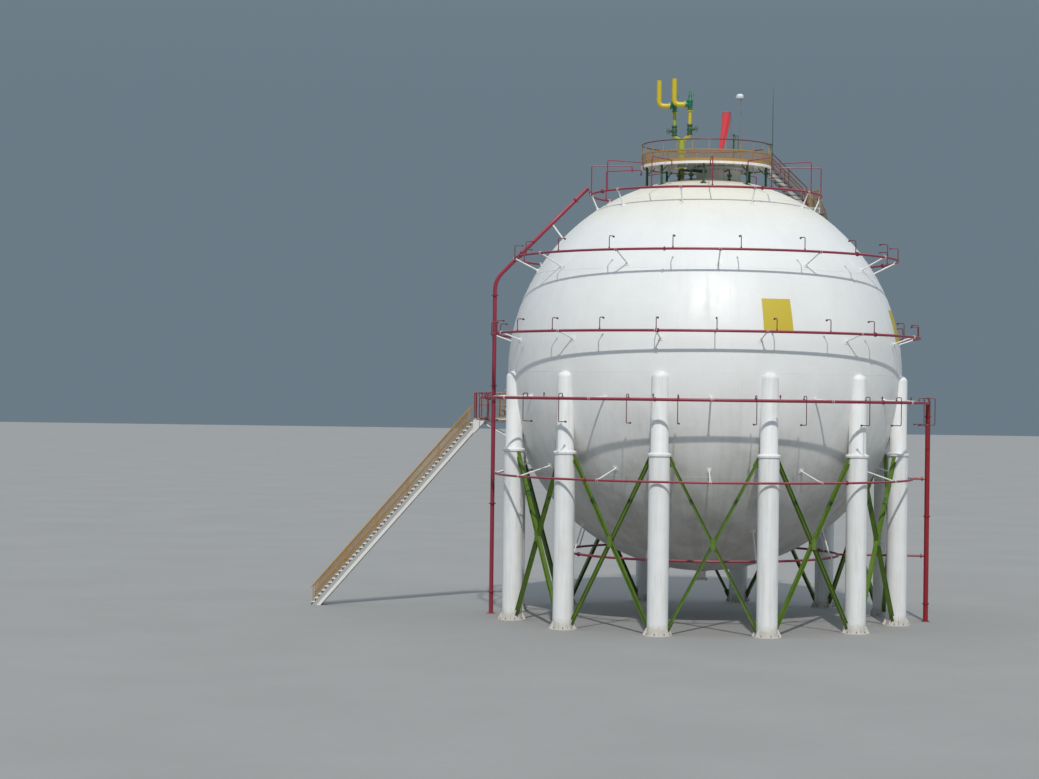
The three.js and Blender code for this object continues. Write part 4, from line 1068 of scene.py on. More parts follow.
def shadow_dark_splice_template():
    """Splice plates with bolt heads halfway up each upper arm, dark as painted shadow of the lower
    ring.
    """
    shape = Shape()
    for side in (-1, 1):
        along = Vector((0, side, BRACE_SLOPE)).normalized()
        across = RIGHT.cross(along)
        axes = (along, across, RIGHT)
        level = BRACE_MIDDLE + BRACE_SLOPE * SPLICE_ASIDE
        centre = Vector((BAY_REACH, side * SPLICE_ASIDE, level))
        for edge in (-1, 1):
            shape.box(centre + across * edge * 0.079, (0.20, 0.010, 0.16), axes)
            shape.box(centre + RIGHT * edge * 0.012, (0.20, 0.10, 0.012), axes)
            for k in (-1, 1):
                head = centre + across * edge * 0.03 + along * k * 0.06 + RIGHT * 0.018
                shape.disc(0.016, 0.014, head, RIGHT, 6)
    return shape


splice_places = round_the_axis(brace_azimuths)
# The splices' dark green is painted shadow, where the lower ring's shadow falls across the braces.
copies("brace_splices", shadow_dark_splice_template(), splice_places, leg_paint, "brace_paint")


def brace_bolt_places():
    """Bolts on the outer gusset of each crossing, lying with their heads outwards."""
    places = []
    for azimuth in brace_azimuths:
        for aside, lift in [(a, b) for a in (-0.11, 0.11) for b in (-0.25, -0.12, 0.12, 0.25)]:
            point = polar(azimuth, BAY_REACH + 0.120, BRACE_MIDDLE + lift)
            point += polar(azimuth + 90, aside, 0)
            places.append((point, (0, math.radians(90), math.radians(azimuth))))
    return places


gusset_bolt = bolt_template(0.024, 0.03, 0.012)
copies("brace_bolts", gusset_bolt, brace_bolt_places(), brace_paint, "brace_paint")

# %% [markdown]
# ## The stair's line
#
# The spiral stair decides where other things may stand, so its line comes before the
# rings. Its inner edge keeps a hand's width off the plates, and swings out below the
# equator to pass the columns. Going and riser are fixed, so the azimuth of each tread
# follows from the last.

# %% The spiral stair's line
LANDING_LEVEL = 9.9
RISER, GOING = 0.22, 0.33
SLAB, STRINGER_DEPTH = 0.05, 0.22
TOP_FLIGHT_AZIMUTH = 20
SPIRAL_TREADS, RESTS_AFTER = 50, (12, 25, 38)
Step = namedtuple("Step", "azimuth below level turn rest")


def spiral_inner(level):
    """Distance of the stair's inner edge from the axis."""
    under = max(level - SLAB - STRINGER_DEPTH, EQUATOR)
    share = min(max((13.9 - level) / 2.6, 0), 1)
    return vessel_radius_at(under) + 0.1 + 0.54 * share * share * (3 - 2 * share)


def spiral_line():
    """A Step for each tread and for each half of a landing, from the bottom up."""
    line, azimuth, level = [], 163.0, LANDING_LEVEL
    for tread in range(1, SPIRAL_TREADS + 1):
        middle = spiral_inner(level) + 0.3
        ahead = spiral_inner(level + RISER) + 0.3
        turn = math.degrees(math.sqrt(max(GOING**2 - (ahead - middle) ** 2, 0)) / ahead)
        line.append(Step(azimuth, level, level + RISER, turn, False))
        azimuth, level = azimuth - turn, level + RISER
        if tread in RESTS_AFTER:
            line += [Step(start, level, level, 8.0, True) for start in (azimuth, azimuth - 8)]
            azimuth -= 16
    half = (azimuth - (TOP_FLIGHT_AZIMUTH - 5)) / 2
    return line + [Step(start, level, level, half, True) for start in (azimuth, azimuth - half)]


steps = spiral_line()
STAIR_END = (steps[-1].azimuth - steps[-1].turn, steps[-1].level)


def blocks_stair(azimuth, level):
    """Whether something at this azimuth and level would stand in the stair's way."""
    for aside in (-3, 0, 3):
        here = (azimuth + aside) % 360
        for step in steps:
            beside = step.azimuth - step.turn < here <= step.azimuth
            if beside and step.level - 0.7 < level < step.level + 2.3:
                return True
    return False


print("stair ends at azimuth %.1f, level %.2f" % STAIR_END)

# %% [markdown]
# ## Spray rings
#
# Six rings of pipe cool the tank in a fire. Each is swept round its own circle, with
# bolted flanges where lengths join. Two of them are left open like a letter C, because
# the stairs pass there.

# %% Rings
RINGS = {
    "crown": (5.80, 21.30, 0.060),
    "upper": (9.64, 18.05, 0.060),
    "equator": (10.77, 14.20, 0.065),
    "columns": (11.28, 11.00, 0.075),
    "lower": (10.48, 7.18, 0.055),
    "bottom": (6.85, 3.30, 0.060),
}
RING_GAPS = {"crown": (9, 41), "columns": (159.5, 169)}


def rounded(path, radius, steps=5):
    """A path with its corners turned into bends."""
    path = [Vector(p) for p in path]
    out = [path[0]]
    for before, corner, after in zip(path, path[1:], path[2:]):
        back, ahead = (before - corner), (after - corner)
        reach = min(radius, back.length * 0.49, ahead.length * 0.49)
        start, end = corner + back.normalized() * reach, corner + ahead.normalized() * reach
        for k in range(steps + 1):
            t = k / steps
            out.append(start.lerp(corner, t).lerp(corner.lerp(end, t), t))
    return out + [path[-1]]


def ring_shape(name):
    """A closed ring, or an open one with a blank flange at each end."""
    reach, level, pipe = RINGS[name]
    shape = Shape()
    if name not in RING_GAPS:
        return shape.tube([polar(2.4 * k, reach, level) for k in range(150)], pipe, closed=True)
    low, high = RING_GAPS[name]
    sweep = 360 - high + low
    shape.tube([polar(high + sweep * k / 150, reach, level) for k in range(151)], pipe)
    for azimuth in (low, high):
        along = polar(azimuth + 90, 1, 0)
        shape.disc(pipe * 1.8, 0.022, polar(azimuth, reach, level) - along * 0.011, along, 16)
    return shape


for ring_name in RINGS:
    ring = ring_shape(ring_name)
    piece("ring_" + ring_name, ring, pipe_paint, ["spray_ring_" + ring_name])

# %% [markdown]
# ## Flanges
#
# Two drilled discs with a gasket gap between them and bolts through both make one joint.
# All joints on the rings are near enough one size to share a template.

# %% Flange pairs round the rings
FLANGE, FLANGE_BOLTS = 0.022, 8


def flange_pair(reach):
    """Two discs with bolts through them, with their axis along Y."""
    shape = Shape()
    for offset in (-0.003 - FLANGE, 0.003):
        shape.disc(reach, FLANGE, BACK * offset, BACK, 20)
    for k in range(FLANGE_BOLTS):
        turn = 2 * math.pi * (k + 0.5) / FLANGE_BOLTS
        centre = Vector((math.cos(turn), 0, math.sin(turn))) * reach * 0.8
        shape.disc(0.011, 2 * FLANGE + 0.036, centre - BACK * (FLANGE + 0.018), BACK, 6)
    return shape


flange_places = []
for ring_name, count in zip(RINGS, (4, 6, 6, 6, 5, 4)):
    reach, level, _ = RINGS[ring_name]
    for k in range(count):
        azimuth = 360 / count * (k + 0.31)
        low, high = RING_GAPS.get(ring_name, (0, 0))
        if not low - 3 < azimuth < high + 3:
            flange_places.append((polar(azimuth, reach, level), (0, 0, math.radians(azimuth))))
copies("ring_flanges", flange_pair(0.105), flange_places, pipe_paint, "water_pipe_paint")

# %% [markdown]
# ## Spray nozzles
#
# Small pipes rise from the rings and lean over the plates, each with a brass-cored
# deflector head at its tip. Four shapes of pipe serve all the rings. Each is drawn once,
# at azimuth zero, and copied round by its ring's count.

# %% Nozzles, arms and drop pipes
# Each pipe's bore, with the reach and height of the socket that it stands in
SOCKETS = {0.022: (0.022 * 1.7, 0.07), 0.021: (0.045, 0.06), 0.026: (0.048, 0.07)}


def nozzle_tip(shape, tip, way):
    """A short cone and a deflector disc at the end of a small pipe."""
    shape.turned([[0.030, 0], [0.042, 0.04], [0.042, 0.06], [0.020, 0.10]], tip, way, 10)
    shape.turned([[0.050, 0.10], [0.050, 0.108]], tip, way, 12)


def water_pipe(line, bend, bore, way, socket, steps=5):
    """A small bent pipe that stands in a socket on its ring and ends in a nozzle."""
    shape = Shape().tube(rounded(line, bend, steps), bore, 8)
    foot = (line[0][0], 0, socket)
    shape.disc(*SOCKETS[bore], foot, sides=10)
    nozzle_tip(shape, line[-1], way)
    return shape


def hooked_pipe(ring_name, height, reach_in):
    """A pipe that rises from its ring and hooks in over the plates."""
    reach, level, pipe = RINGS[ring_name]
    head = level + height
    line = [(reach, 0, level + pipe * 0.6), (reach, 0, head), (reach - reach_in, 0, head)]
    return water_pipe(line, 0.09, 0.022, (-1, 0, -0.25), level + pipe * 0.7)


def clear_azimuths(ring_name, count, first):
    """Equal steps round a ring, but for those where the spiral stair passes."""
    level = RINGS[ring_name][1]
    azimuths = [first + 360 / count * k for k in range(count)]
    return [azimuth for azimuth in azimuths if not blocks_stair(azimuth, level)]


def drop_pipe():
    """A pipe that goes over its ring and down outside it."""
    reach, level, pipe = RINGS["columns"]
    outside, head, low = reach + 0.27, level + 0.23, level - 1.10
    line = [(reach, 0, level + pipe * 0.6), (reach, 0, head), (outside, 0, head)]
    line += [(outside, 0, low), (outside - 0.44, 0, low)]
    return water_pipe(line, 0.07, 0.021, (-1, 0, 0), level + pipe * 0.7, 4)


def crown_arm():
    """A pipe that reaches in from the crown ring to spray beside the platform."""
    reach, level, pipe = RINGS["crown"]
    inner = PLATFORM_RADIUS + 0.45
    line = [(reach, 0, level + pipe * 0.6), (reach, 0, 22.8), (inner, 0, 22.8), (inner, 0, 22.62)]
    return water_pipe(line, 0.1, 0.026, -UP, level + pipe * 0.7)


def column_stub():
    """A short upright nozzle in front of each column."""
    reach, level, pipe = RINGS["columns"]
    shape = Shape().tube([(reach, 0, level + pipe * 0.6), (reach, 0, level + 0.17)], 0.024, 8)
    nozzle_tip(shape, (reach, 0, level + 0.16), UP)
    return shape


dark = (maroon_paint, "water_pipe_paint")
red = (pipe_paint, "water_pipe_paint")
for ring_name, height, reach_in, count, first in (
    ("upper", 0.65, 0.32, 19, 261),
    ("equator", 0.62, 0.26, 24, 258.1),
):
    hook_places = round_the_axis(clear_azimuths(ring_name, count, first))
    copies("nozzles_" + ring_name, hooked_pipe(ring_name, height, reach_in), hook_places, *dark)
STAIR_SIDE = (118, 174)


def open_side(azimuths):
    """The azimuths that are away from the ground stair's landing."""
    return [a for a in azimuths if not STAIR_SIDE[0] < a < STAIR_SIDE[1]]


drop_places = round_the_axis(open_side([a + s for a in COLUMN_AZIMUTHS for s in (-6, 6)]))
copies("drop_pipes", drop_pipe(), drop_places, *dark)
arm_azimuths = [3 + 30 * k for k in range(12) if not 20 < 3 + 30 * k < 40]
copies("crown_arms", crown_arm(), round_the_axis(arm_azimuths), *red)
copies("column_stubs", column_stub(), round_the_axis(open_side(COLUMN_AZIMUTHS)), *dark)

# %% [markdown]
# ## Ring struts
#
# White struts carry the rings. Each has a pad plate on the shell, which spreads the weld,
# and a strap round the pipe at its head. A strut is made in the plane of azimuth zero, so
# only its foot and head levels change from ring to ring.

# %% Struts with pads and straps
def weld_pad(shape, foot, outward, over, size):
    """The pad plate that spreads a weld on the sphere's plates."""
    shape.box(foot + outward * 0.008, size, (outward, over, outward.cross(over)))


def strut_template(foot, head, bore, pipe):
    """A strut from a foot on the plates to a ring: foot and head are (radius, level)."""
    shape = Shape()
    start, end = Vector((foot[0], 0, foot[1])), Vector((head[0], 0, head[1]))
    along = (end - start).normalized()
    shape.tube([start - along * 0.10, end - along * pipe], bore, 10)
    weld_pad(shape, start, straight_out(start), BACK, (0.022, 0.24, 0.24))
    shape.turned([[bore * 1.7, 0], [bore * 1.05, 0.12]], start + along * 0.01, along, 10)
    for aside in (-0.045, 0.045):
        strap = []
        for c, s in ring_of(16):
            strap.append(end + BACK * aside + Vector((c, 0, s)) * (pipe + 0.008))
        shape.tube(strap, 0.009, 6, closed=True)
    shape.box(end - along * (pipe + 0.02), (0.03, 0.15, 0.11), (along, BACK, along.cross(BACK)))
    return shape


for ring_name, count, first, foot_level, bore in (
    ("crown", 10, 258, 20.55, 0.036),
    ("upper", 12, 274.2, 17.45, 0.036),
    ("equator", 13, 258, 13.86, 0.036),
    ("columns", 12, 32, 11.1, 0.045),
    ("lower", 12, 32, 7.7, 0.036),
    ("bottom", 8, 22.5, 4.75, 0.036),
):
    reach, level, pipe = RINGS[ring_name]
    foot = (vessel_radius_at(foot_level), foot_level)
    strut = strut_template(foot, (reach, level), bore, pipe)
    strut_places = round_the_axis(clear_azimuths(ring_name, count, first))
    copies("struts_" + ring_name, strut, strut_places, strut_paint, "vessel_paint")

# %% [markdown]
# ## Risers
#
# Two standing pipes feed the rings. The left one climbs past the equator, then leans in
# along the sphere to the crown. The right one feeds the three lower rings. Their corners
# are long bends, not mitres, because water hammers at a sharp corner.

# %% Risers
RIGHT_AZIMUTH, RIGHT_REACH = 1.2, 11.28
LEFT_REACH, LEAN_LEVEL = 10.66, 17.0
LEAN_END = (5.99, 21.7)
BASE_FLANGE = (0.22, 0.03)


def leg_point(radius):
    """A point on the left riser's sloping leg."""
    share = (LEFT_REACH - radius) / (LEFT_REACH - LEAN_END[0])
    return polar(180, radius, LEAN_LEVEL + (LEAN_END[1] - LEAN_LEVEL) * share)


def riser_flange(shape, centre, along, reach=0.175):
    along = along.normalized()
    for offset in (-0.028, 0.003):
        shape.disc(reach, 0.025, centre + along * offset, along, 20)


def left_riser_shape():
    shape = Shape()
    line = [
        polar(180, LEFT_REACH, 0.02), polar(180, LEFT_REACH, LEAN_LEVEL), polar(180, *LEAN_END)
    ]
    crown, upper = (polar(180, *RINGS[name][:2]) for name in ("crown", "upper"))
    shape.tube(rounded(line, 0.55, 8) + [crown], 0.105, 18)
    shape.tube([leg_point(9.84), upper], 0.055, 10)
    for level in (1.1, 5.6, 11.6, 16.2):
        riser_flange(shape, polar(180, LEFT_REACH, level), UP)
    for radius in (9.3, 6.6):
        riser_flange(shape, leg_point(radius), leg_point(6.2) - leg_point(9.6))
    return shape.disc(*BASE_FLANGE, polar(180, LEFT_REACH, 0))


def right_point(level, reach=RIGHT_REACH):
    """A point of the right riser, or of a branch that leaves it."""
    return polar(RIGHT_AZIMUTH, reach, level)


def right_riser_shape():
    shape = Shape().tube([right_point(0.02), right_point(11.0)], 0.125, 18)
    cap = [[0.125, 0], [0.115, 0.04], [0.07, 0.08], [0, 0.095]]
    shape.turned(cap, right_point(10.99), sides=18)
    for name in ("lower", "bottom"):
        reach, level, _ = RINGS[name]
        shape.tube([right_point(level), right_point(level, reach)], 0.053, 10)
        riser_flange(shape, right_point(level, RIGHT_REACH - 0.26), right_point(0, 1), 0.11)
    for level in (0.9, 5.3, 10.3):
        riser_flange(shape, right_point(level), UP)
    return shape.disc(*BASE_FLANGE, right_point(0))


piece("left_riser", left_riser_shape(), pipe_paint, ["riser_left"])
piece("right_riser", right_riser_shape(), riser_paint, ["riser_right"])
leg_foot = Vector((-7.2, 0, crown_level(7.2)))
leg_strut = Shape().tube([leg_foot * 0.998, leg_point(7.8)], 0.045, 10)
piece("riser_strut", leg_strut, strut_paint)

# %% [markdown]
# ## Ground stair
#
# The ground flight has two deep channel stringers with bent-plate treads on brackets
# above them, which gives the saw-tooth edge; the brackets and riser sheets are dark as
# painted shade under each tread. The stringers' webs are painted grey as shade under the
# treads' overhang, so they are a piece of their own. Diagonal mesh on both sides keeps
# feet in. The treads are copies down a row of points.

# %% Ground stair
GROUND_RISERS, GROUND_RUN, GROUND_Y = 48, 8.592, 3.0
LANDING_X, LANDING_Y = (-11.94, -9.9), (2.6, 3.45)
GROUND_RAIL, RAIL_ASIDE = 0.86, 0.36
POST_TREADS = [1, 10, 19, 28, 37, 46]
MESH_PITCH = 0.085


def ground_point(share, aside=0.0, lift=0.0):
    """A point on the line of the treads' noses."""
    x = LANDING_X[0] - GROUND_RUN * (1 - share)
    return Vector((x, GROUND_Y + aside, LANDING_LEVEL * share + lift))


def stringer_strips(*strips):
    """Strips on both stringers: two depths below the nose line, then two distances aside."""
    shape = Shape()
    for side in (-1, 1):
        for high, low, inside, outside in strips:
            corners = []
            for lift in (high, low):
                foot = ground_point(-lift / LANDING_LEVEL, 0, lift)
                corners.append([foot, ground_point(1, 0, lift) - RIGHT * 0.002])
            corners = corners[0] + corners[1][::-1]
            shape.sections([[p + BACK * side * y for p in corners] for y in (inside, outside)])
    return shape


def ground_tread():
    """One tread with its nose at the origin, climbing towards +X."""
    shape = Shape()
    shape.box((0.098, 0, -0.0125), (0.214, 0.76, 0.025))
    shape.box((-0.004, 0, -0.030), (0.012, 0.784, 0.060))
    for side in (-1, 1):
        shape.box((0.098, side * 0.386, -0.030), (0.214, 0.012, 0.060))
    return shape


def ground_bracket():
    """The riser sheet and side brackets below one tread, painted dark as the shade under it."""
    shape = Shape()
    cheek = [(0.004, -0.0605), (0.2, -0.0605), (0.034, -0.203), (0.004, -0.203)]
    for side in (-1, 1):
        shape.sections([[(x, side * y, z) for x, z in cheek] for y in (0.372, 0.378)])
    return shape.box((0.006, 0, -0.115), (0.006, 0.74, 0.176))


ground_flanges = stringer_strips((-0.52, -0.756, 0.354, 0.394), (-0.244, -0.262, 0.354, 0.394))
# Painted shade: the webs take grey paint for the shade under the treads' overhang.
ground_webs = stringer_strips((-0.2625, -0.5195, 0.358, 0.370))
tread_places = [(ground_point(i / GROUND_RISERS), (0, 0, 0)) for i in range(1, GROUND_RISERS)]
piece("ground_stringers", ground_flanges, stair_paint, ["ground_stair"])
piece("ground_stringer_webs", ground_webs, shade_grey_paint)
copies("ground_treads", ground_tread(), tread_places, stair_paint, "stair_paint")
# The brackets' dark paint is painted shade under each tread.
copies("ground_brackets", ground_bracket(), tread_places, dark_steel_and_shade_paint, "stair_paint")


def over_tread(tread, side, lift):
    """A point on the line of a rail's posts, above a tread."""
    return ground_point(tread / GROUND_RISERS, side * RAIL_ASIDE, lift) + RIGHT * 0.09


def ground_rail_shape(side):
    shape = Shape()
    first, last = POST_TREADS[0], POST_TREADS[-1]
    for start, end, lift, bore, sides in (
        (first - 0.6, last + 0.9, GROUND_RAIL, 0.028, 12),
        (first, last, 0.42, 0.020, 8),
        (first, last, 0.12, 0.016, 8),
    ):
        shape.tube([over_tread(start, side, lift), over_tread(end, side, lift)], bore, sides)
    for tread in POST_TREADS:
        foot, head = (over_tread(tread, side, lift) for lift in (0.002, GROUND_RAIL - 0.015))
        shape.tube([foot, head], 0.024, 10)
        shape.box(over_tread(tread, side, 0.008), (0.09, 0.07, 0.012))
    return shape


def ground_mesh(side):
    """Diagonal strands between the bottom and top rails of one side."""
    first, last = (ground_point(POST_TREADS[k] / GROUND_RISERS) for k in (0, -1))
    run = last - first
    reach = run.normalized() * 0.36
    lines = []
    for k in range(int(run.length / MESH_PITCH)):
        start = first + run * (k * MESH_PITCH / run.length) + Vector((0.09, side * RAIL_ASIDE, 0))
        low, high = start + UP * 0.12, start + UP * (GROUND_RAIL - 0.01)
        for foot, head in ((low, high + reach), (low + reach, high)):
            if max(foot.x, head.x) < last.x + 0.09:
                lines.append([foot, head])
    return lines


for name, side in (("ground_rail_front", -1), ("ground_rail_back", 1)):
    piece(name, ground_rail_shape(side), rail_paint, [name])
rail_lines = ground_mesh(-1) + ground_mesh(1)
strands("ground_rail_mesh", rail_lines, 0.013, rail_mesh_paint)

# %% [markdown]
# ## Stair landing
#
# The landing hangs on two beams that run in to the plates, with knees below. The guard at
# the stair's head is a red frame, higher than the stair's rails, because it gets leaned on.
# The rails beyond it are amber, and mesh fills the front.

# %% Stair landing
def landing_shape():
    shape = Shape()
    left, right = LANDING_X
    front, back = LANDING_Y
    middle, depth, level = (front + back) / 2, back - front, LANDING_LEVEL
    shape.box(((left + right) / 2, middle, level - 0.015), (right - left, depth, 0.03))
    for y in (front + 0.02, back - 0.02):
        shape.bar((left, y, level - 0.035), (right, y, level - 0.035), (0.04, 0.05))
    shape.box((left + 0.03, middle, level - 0.385), (0.06, depth, 0.74))
    beam = wide_flange(0.09, 0.16, 0.012, 0.009)
    for y in (front + 0.24, back - 0.06):
        low = level - 0.13
        inner = math.sqrt(vessel_radius_at(low) ** 2 - y**2) - 0.02
        shape.section_bar((left + 0.06, y, low), (-inner, y, low), beam)
        foot = math.sqrt(vessel_radius_at(level - 1.9) ** 2 - y**2)
        knee = [(left + 0.35, y, level - 0.16), (-foot + 0.02, y, level - 1.88)]
        shape.tube(knee, 0.045, 10)
        pad = Vector((-foot, y, level - 1.88))
        out = straight_out(pad)
        weld_pad(shape, pad, out, out.cross(UP).normalized(), (0.02, 0.3, 0.3))
    gusset = [(0.061, -0.04), (0.061, -0.75), (0.66, -0.09), (0.66, -0.04)]
    for side in (-1, 1):
        faces = (GROUND_Y + side * RAIL_ASIDE, GROUND_Y + side * 0.372)
        shape.sections([[(left + x, y, level + z) for x, z in gusset] for y in faces])
    for k in range(5):
        x, low = left + 0.3 + 0.4 * k, level - 0.055
        shape.bar((x, front + 0.04, low), (x, back - 0.04, low), (0.03, 0.05))
    return shape


GUARD_SPLIT, GUARD_BACK, GUARD_HEIGHT = -11.16, 1.27, 1.33


def landing_rail_shape(red_part):
    """The guard round the landing: the red frame at the stair's head, or the rails beyond."""
    shape = Shape()
    left, right = LANDING_X[0] + 0.04, LANDING_X[1] - 0.04
    front, back = LANDING_Y[0] + 0.04, LANDING_Y[1] - 0.04
    for lift, bore in ((GUARD_HEIGHT, 0.030), (0.70, 0.018), (0.03, 0.028)):
        level = LANDING_LEVEL + lift
        if red_part:
            shape.tube([(left, front, level), (GUARD_SPLIT, front, level)], bore, 10)
            shape.tube([(left, back, level), (left + GUARD_BACK, back, level)], bore, 10)
        else:
            line = [
                (GUARD_SPLIT + 0.001, front, level), (right, front, level), (right, back, level)
            ]
            shape.tube(line, bore * 0.8, 10)
    posts = [(right, front), (right, back), (left + 1.4, front)]
    if red_part:
        posts = [(left, front), (left + 0.38, front), (GUARD_SPLIT, front)]
        posts += [(left, back), (left + GUARD_BACK, back)]
    for x, y in posts:
        foot, head = LANDING_LEVEL - 0.03, LANDING_LEVEL + GUARD_HEIGHT
        shape.tube([(x, y, foot), (x, y, head)], 0.024, 10)
        shape.box((x, y, LANDING_LEVEL + 0.008), (0.09, 0.07, 0.014))
    return shape


piece("stair_landing_deck", landing_shape(), stair_paint, ["stair_landing"])
piece("landing_guard", landing_rail_shape(True), riser_paint)
piece("landing_rails", landing_rail_shape(False), rail_paint)
guard_lines = []
for k in range(24):
    x, y = LANDING_X[0] + 0.06 + 0.08 * k, LANDING_Y[0] + 0.05
    for start, end in ((x, x + 0.45), (x + 0.45, x)):
        if max(start, end) < LANDING_X[1] - 0.06:
            low, high = LANDING_LEVEL + 0.05, LANDING_LEVEL + 1.30
            guard_lines.append([(start, y, low), (end, y, high)])
strands("landing_mesh", guard_lines, 0.010, rail_mesh_paint)

# %% [markdown]
# ## Spiral stair
#
# The spiral's stringers are two ribbons that follow the plates, and each tread is turned
# to its own azimuth and level. The treads are copies, the small landings are made
# singly because their lengths differ.

# %% Spiral stair
def spiral_ribbon(offset, thickness, low, high):
    """A strip along the stair, from one lift above the slab's underside to another."""
    rows = []
    for azimuth, below in [(step.azimuth, step.below) for step in steps] + [STAIR_END]:
        reach = spiral_inner(below) + offset
        corners = oblong(reach, reach + thickness, low, high)
        rows.append([polar(azimuth, r, below - SLAB + z) for r, z in corners])
    return rows


def spiral_tread():
    """A bar grating tread about the origin: its nose at Y = 0, climbing towards -Y."""
    shape = Shape()
    for k in range(11):
        y = -0.012 - 0.030 * k
        shape.box((0, y, -0.016), (0.55, 0.006, 0.032))
    for k in range(7):
        shape.box((-0.26 + 0.52 * k / 6, -0.162, -0.010), (0.006, 0.312, 0.014))
    shape.box((0, -0.002, -0.018), (0.56, 0.012, 0.036))
    for x in (-0.277, 0.277):
        shape.box((x, -0.162, -0.030), (0.008, 0.32, 0.060))
    return shape


def spiral_frame():
    """Stringers, small landings and the beams that carry the stair from the plates."""
    shape = Shape()
    for offset in (0.025, 0.551):
        shape.sections(spiral_ribbon(offset, 0.024, -STRINGER_DEPTH, 0.05))
    for step in [step for step in steps if step.rest]:
        inner = spiral_inner(step.below)
        rows = []
        for azimuth in [step.azimuth - step.turn * k / 3 for k in range(4)]:
            corners = oblong(inner + 0.01, inner + 0.59, 0.03, 0.0)
            rows.append([polar(azimuth, r, step.level - z) for r, z in corners])
        shape.sections(rows)
    half = COLUMN_PITCH / 2
    for k, (azimuth, below, level, _, _) in enumerate(steps[:-1]):
        off_column = abs((azimuth - FIRST_COLUMN + half) % COLUMN_PITCH - half)
        if k % 5 != 2 or (off_column < 4 and level < 13.4):
            continue
        beam = below - SLAB - 0.09
        inner, outer = vessel_radius_at(beam) - 0.03, spiral_inner(below) + 0.57
        start, end = (polar(azimuth, reach, beam) for reach in (inner, outer))
        shape.section_bar(start, end, wide_flange(0.07, 0.10, 0.010, 0.008))
        pad = polar(azimuth, vessel_radius_at(beam), beam)
        weld_pad(shape, pad, straight_out(pad), polar(azimuth + 90, 1, 0), (0.02, 0.26, 0.26))
    return shape


piece("spiral_frame", spiral_frame(), stair_paint, ["spiral_stair"])
spiral_places = []
for step in [step for step in steps if not step.rest]:
    middle = polar(step.azimuth, spiral_inner(step.below) + 0.3, step.level)
    spiral_places.append((middle, (0, 0, math.radians(step.azimuth))))
copies("spiral_treads", spiral_tread(), spiral_places, dark_steel_and_shade_paint, "stair_paint")

end_step = Step(*STAIR_END, STAIR_END[1], 0, True)
smooth_steps = steps[1:] + [end_step]
rail_steps = [steps[1]]
for k in range(1, len(steps)):
    if steps[k].rest or steps[k - 1].rest or k % 5 == 0:
        rail_steps.append(steps[k])
rail_steps.append(end_step)


def spiral_rail_point(step, offset, lift):
    reach = spiral_inner(step.level) + offset
    return polar(step.azimuth - step.turn / 2, reach, step.level + lift)


def spiral_rail_shape(offset):
    shape = Shape()
    for lift, bore in ((0.92, 0.024), (0.50, 0.014)):
        shape.tube([spiral_rail_point(step, offset, lift) for step in smooth_steps], bore, 10)
    last = end_step._replace(azimuth=end_step.azimuth + 0.4)
    for step in rail_steps[:-1:2] + [last]:
        foot, head = (spiral_rail_point(step, offset, lift) for lift in (0.002, 0.905))
        shape.tube([foot, head], 0.022, 8)
        shape.disc(0.04, 0.01, foot, sides=10)
    return shape


STRAND_LEAN = 5


def spiral_mesh_lines(offset):
    """Diagonal strands along the stair, each from the foot line to the handrail."""
    foot = [spiral_rail_point(step, offset, 0.10) for step in smooth_steps]
    head = [spiral_rail_point(step, offset, 0.90) for step in smooth_steps]
    even_foot, even_head = [], []
    for a, b, c, d in zip(foot, foot[1:], head, head[1:]):
        count = max(1, round((b - a).length / MESH_PITCH))
        for k in range(count):
            even_foot.append(a.lerp(b, k / count))
            even_head.append(c.lerp(d, k / count))
    lines = []
    for k in range(len(even_foot) - STRAND_LEAN):
        middle = k + STRAND_LEAN // 2
        centre = even_foot[middle].lerp(even_head[middle], 0.5)
        for low, high in ((k, k + STRAND_LEAN), (k + STRAND_LEAN, k)):
            start, end = even_foot[low], even_head[high]
            lines.append([start, start.lerp(end, 0.5) * 0.5 + centre * 0.5, end])
    return lines


for name, offset in (("spiral_rail_inner", 0.045), ("spiral_rail_outer", 0.555)):
    piece(name, spiral_rail_shape(offset), rail_paint, [name])
for name, offset in (("spiral_rail_mesh", 0.555), ("spiral_inner_mesh", 0.045)):
    strands(name, spiral_mesh_lines(offset), 0.010, mesh_paint)

# %% [markdown]
# ## Top flight
#
# The last flight turns inwards and climbs straight to the platform. Its stringers rest on
# the spiral's top landing at one end and on the platform's edge at the other.

# %% Top flight
FLIGHT_SEAT = 0.008
TOP_RISERS = 9
FLIGHT_RISE = (PLATFORM_LEVEL - STAIR_END[1]) / TOP_RISERS
FLIGHT_OUTER = spiral_inner(STAIR_END[1]) + FLIGHT_SEAT
FLIGHT_INNER = 3.2795
FLIGHT_GOING = (FLIGHT_OUTER - FLIGHT_INNER) / TOP_RISERS
FLIGHT_SIDE, FLIGHT_RAIL = polar(TOP_FLIGHT_AZIMUTH + 90, 1, 0), 0.28


def flight_point(step, aside, lift):
    """A point on the flight's nose line, counted in steps from its foot."""
    reach, level = FLIGHT_OUTER - FLIGHT_GOING * step, STAIR_END[1] + FLIGHT_RISE * step
    return polar(TOP_FLIGHT_AZIMUTH, reach, level + lift) + FLIGHT_SIDE * aside


def flight_stringers():
    shape = Shape()
    corners = oblong(0, TOP_RISERS, 0.02, -0.23)
    for side in (-1, 1):
        faces = (side * 0.288, side * 0.30)
        shape.sections([[flight_point(step, y, lift) for step, lift in corners] for y in faces])
        for lift in (0.014, -0.224):
            ends = (flight_point(step, side * 0.279, lift) for step in (0.02, TOP_RISERS - 0.02))
            shape.bar(*ends, (0.042, 0.012))
    return shape


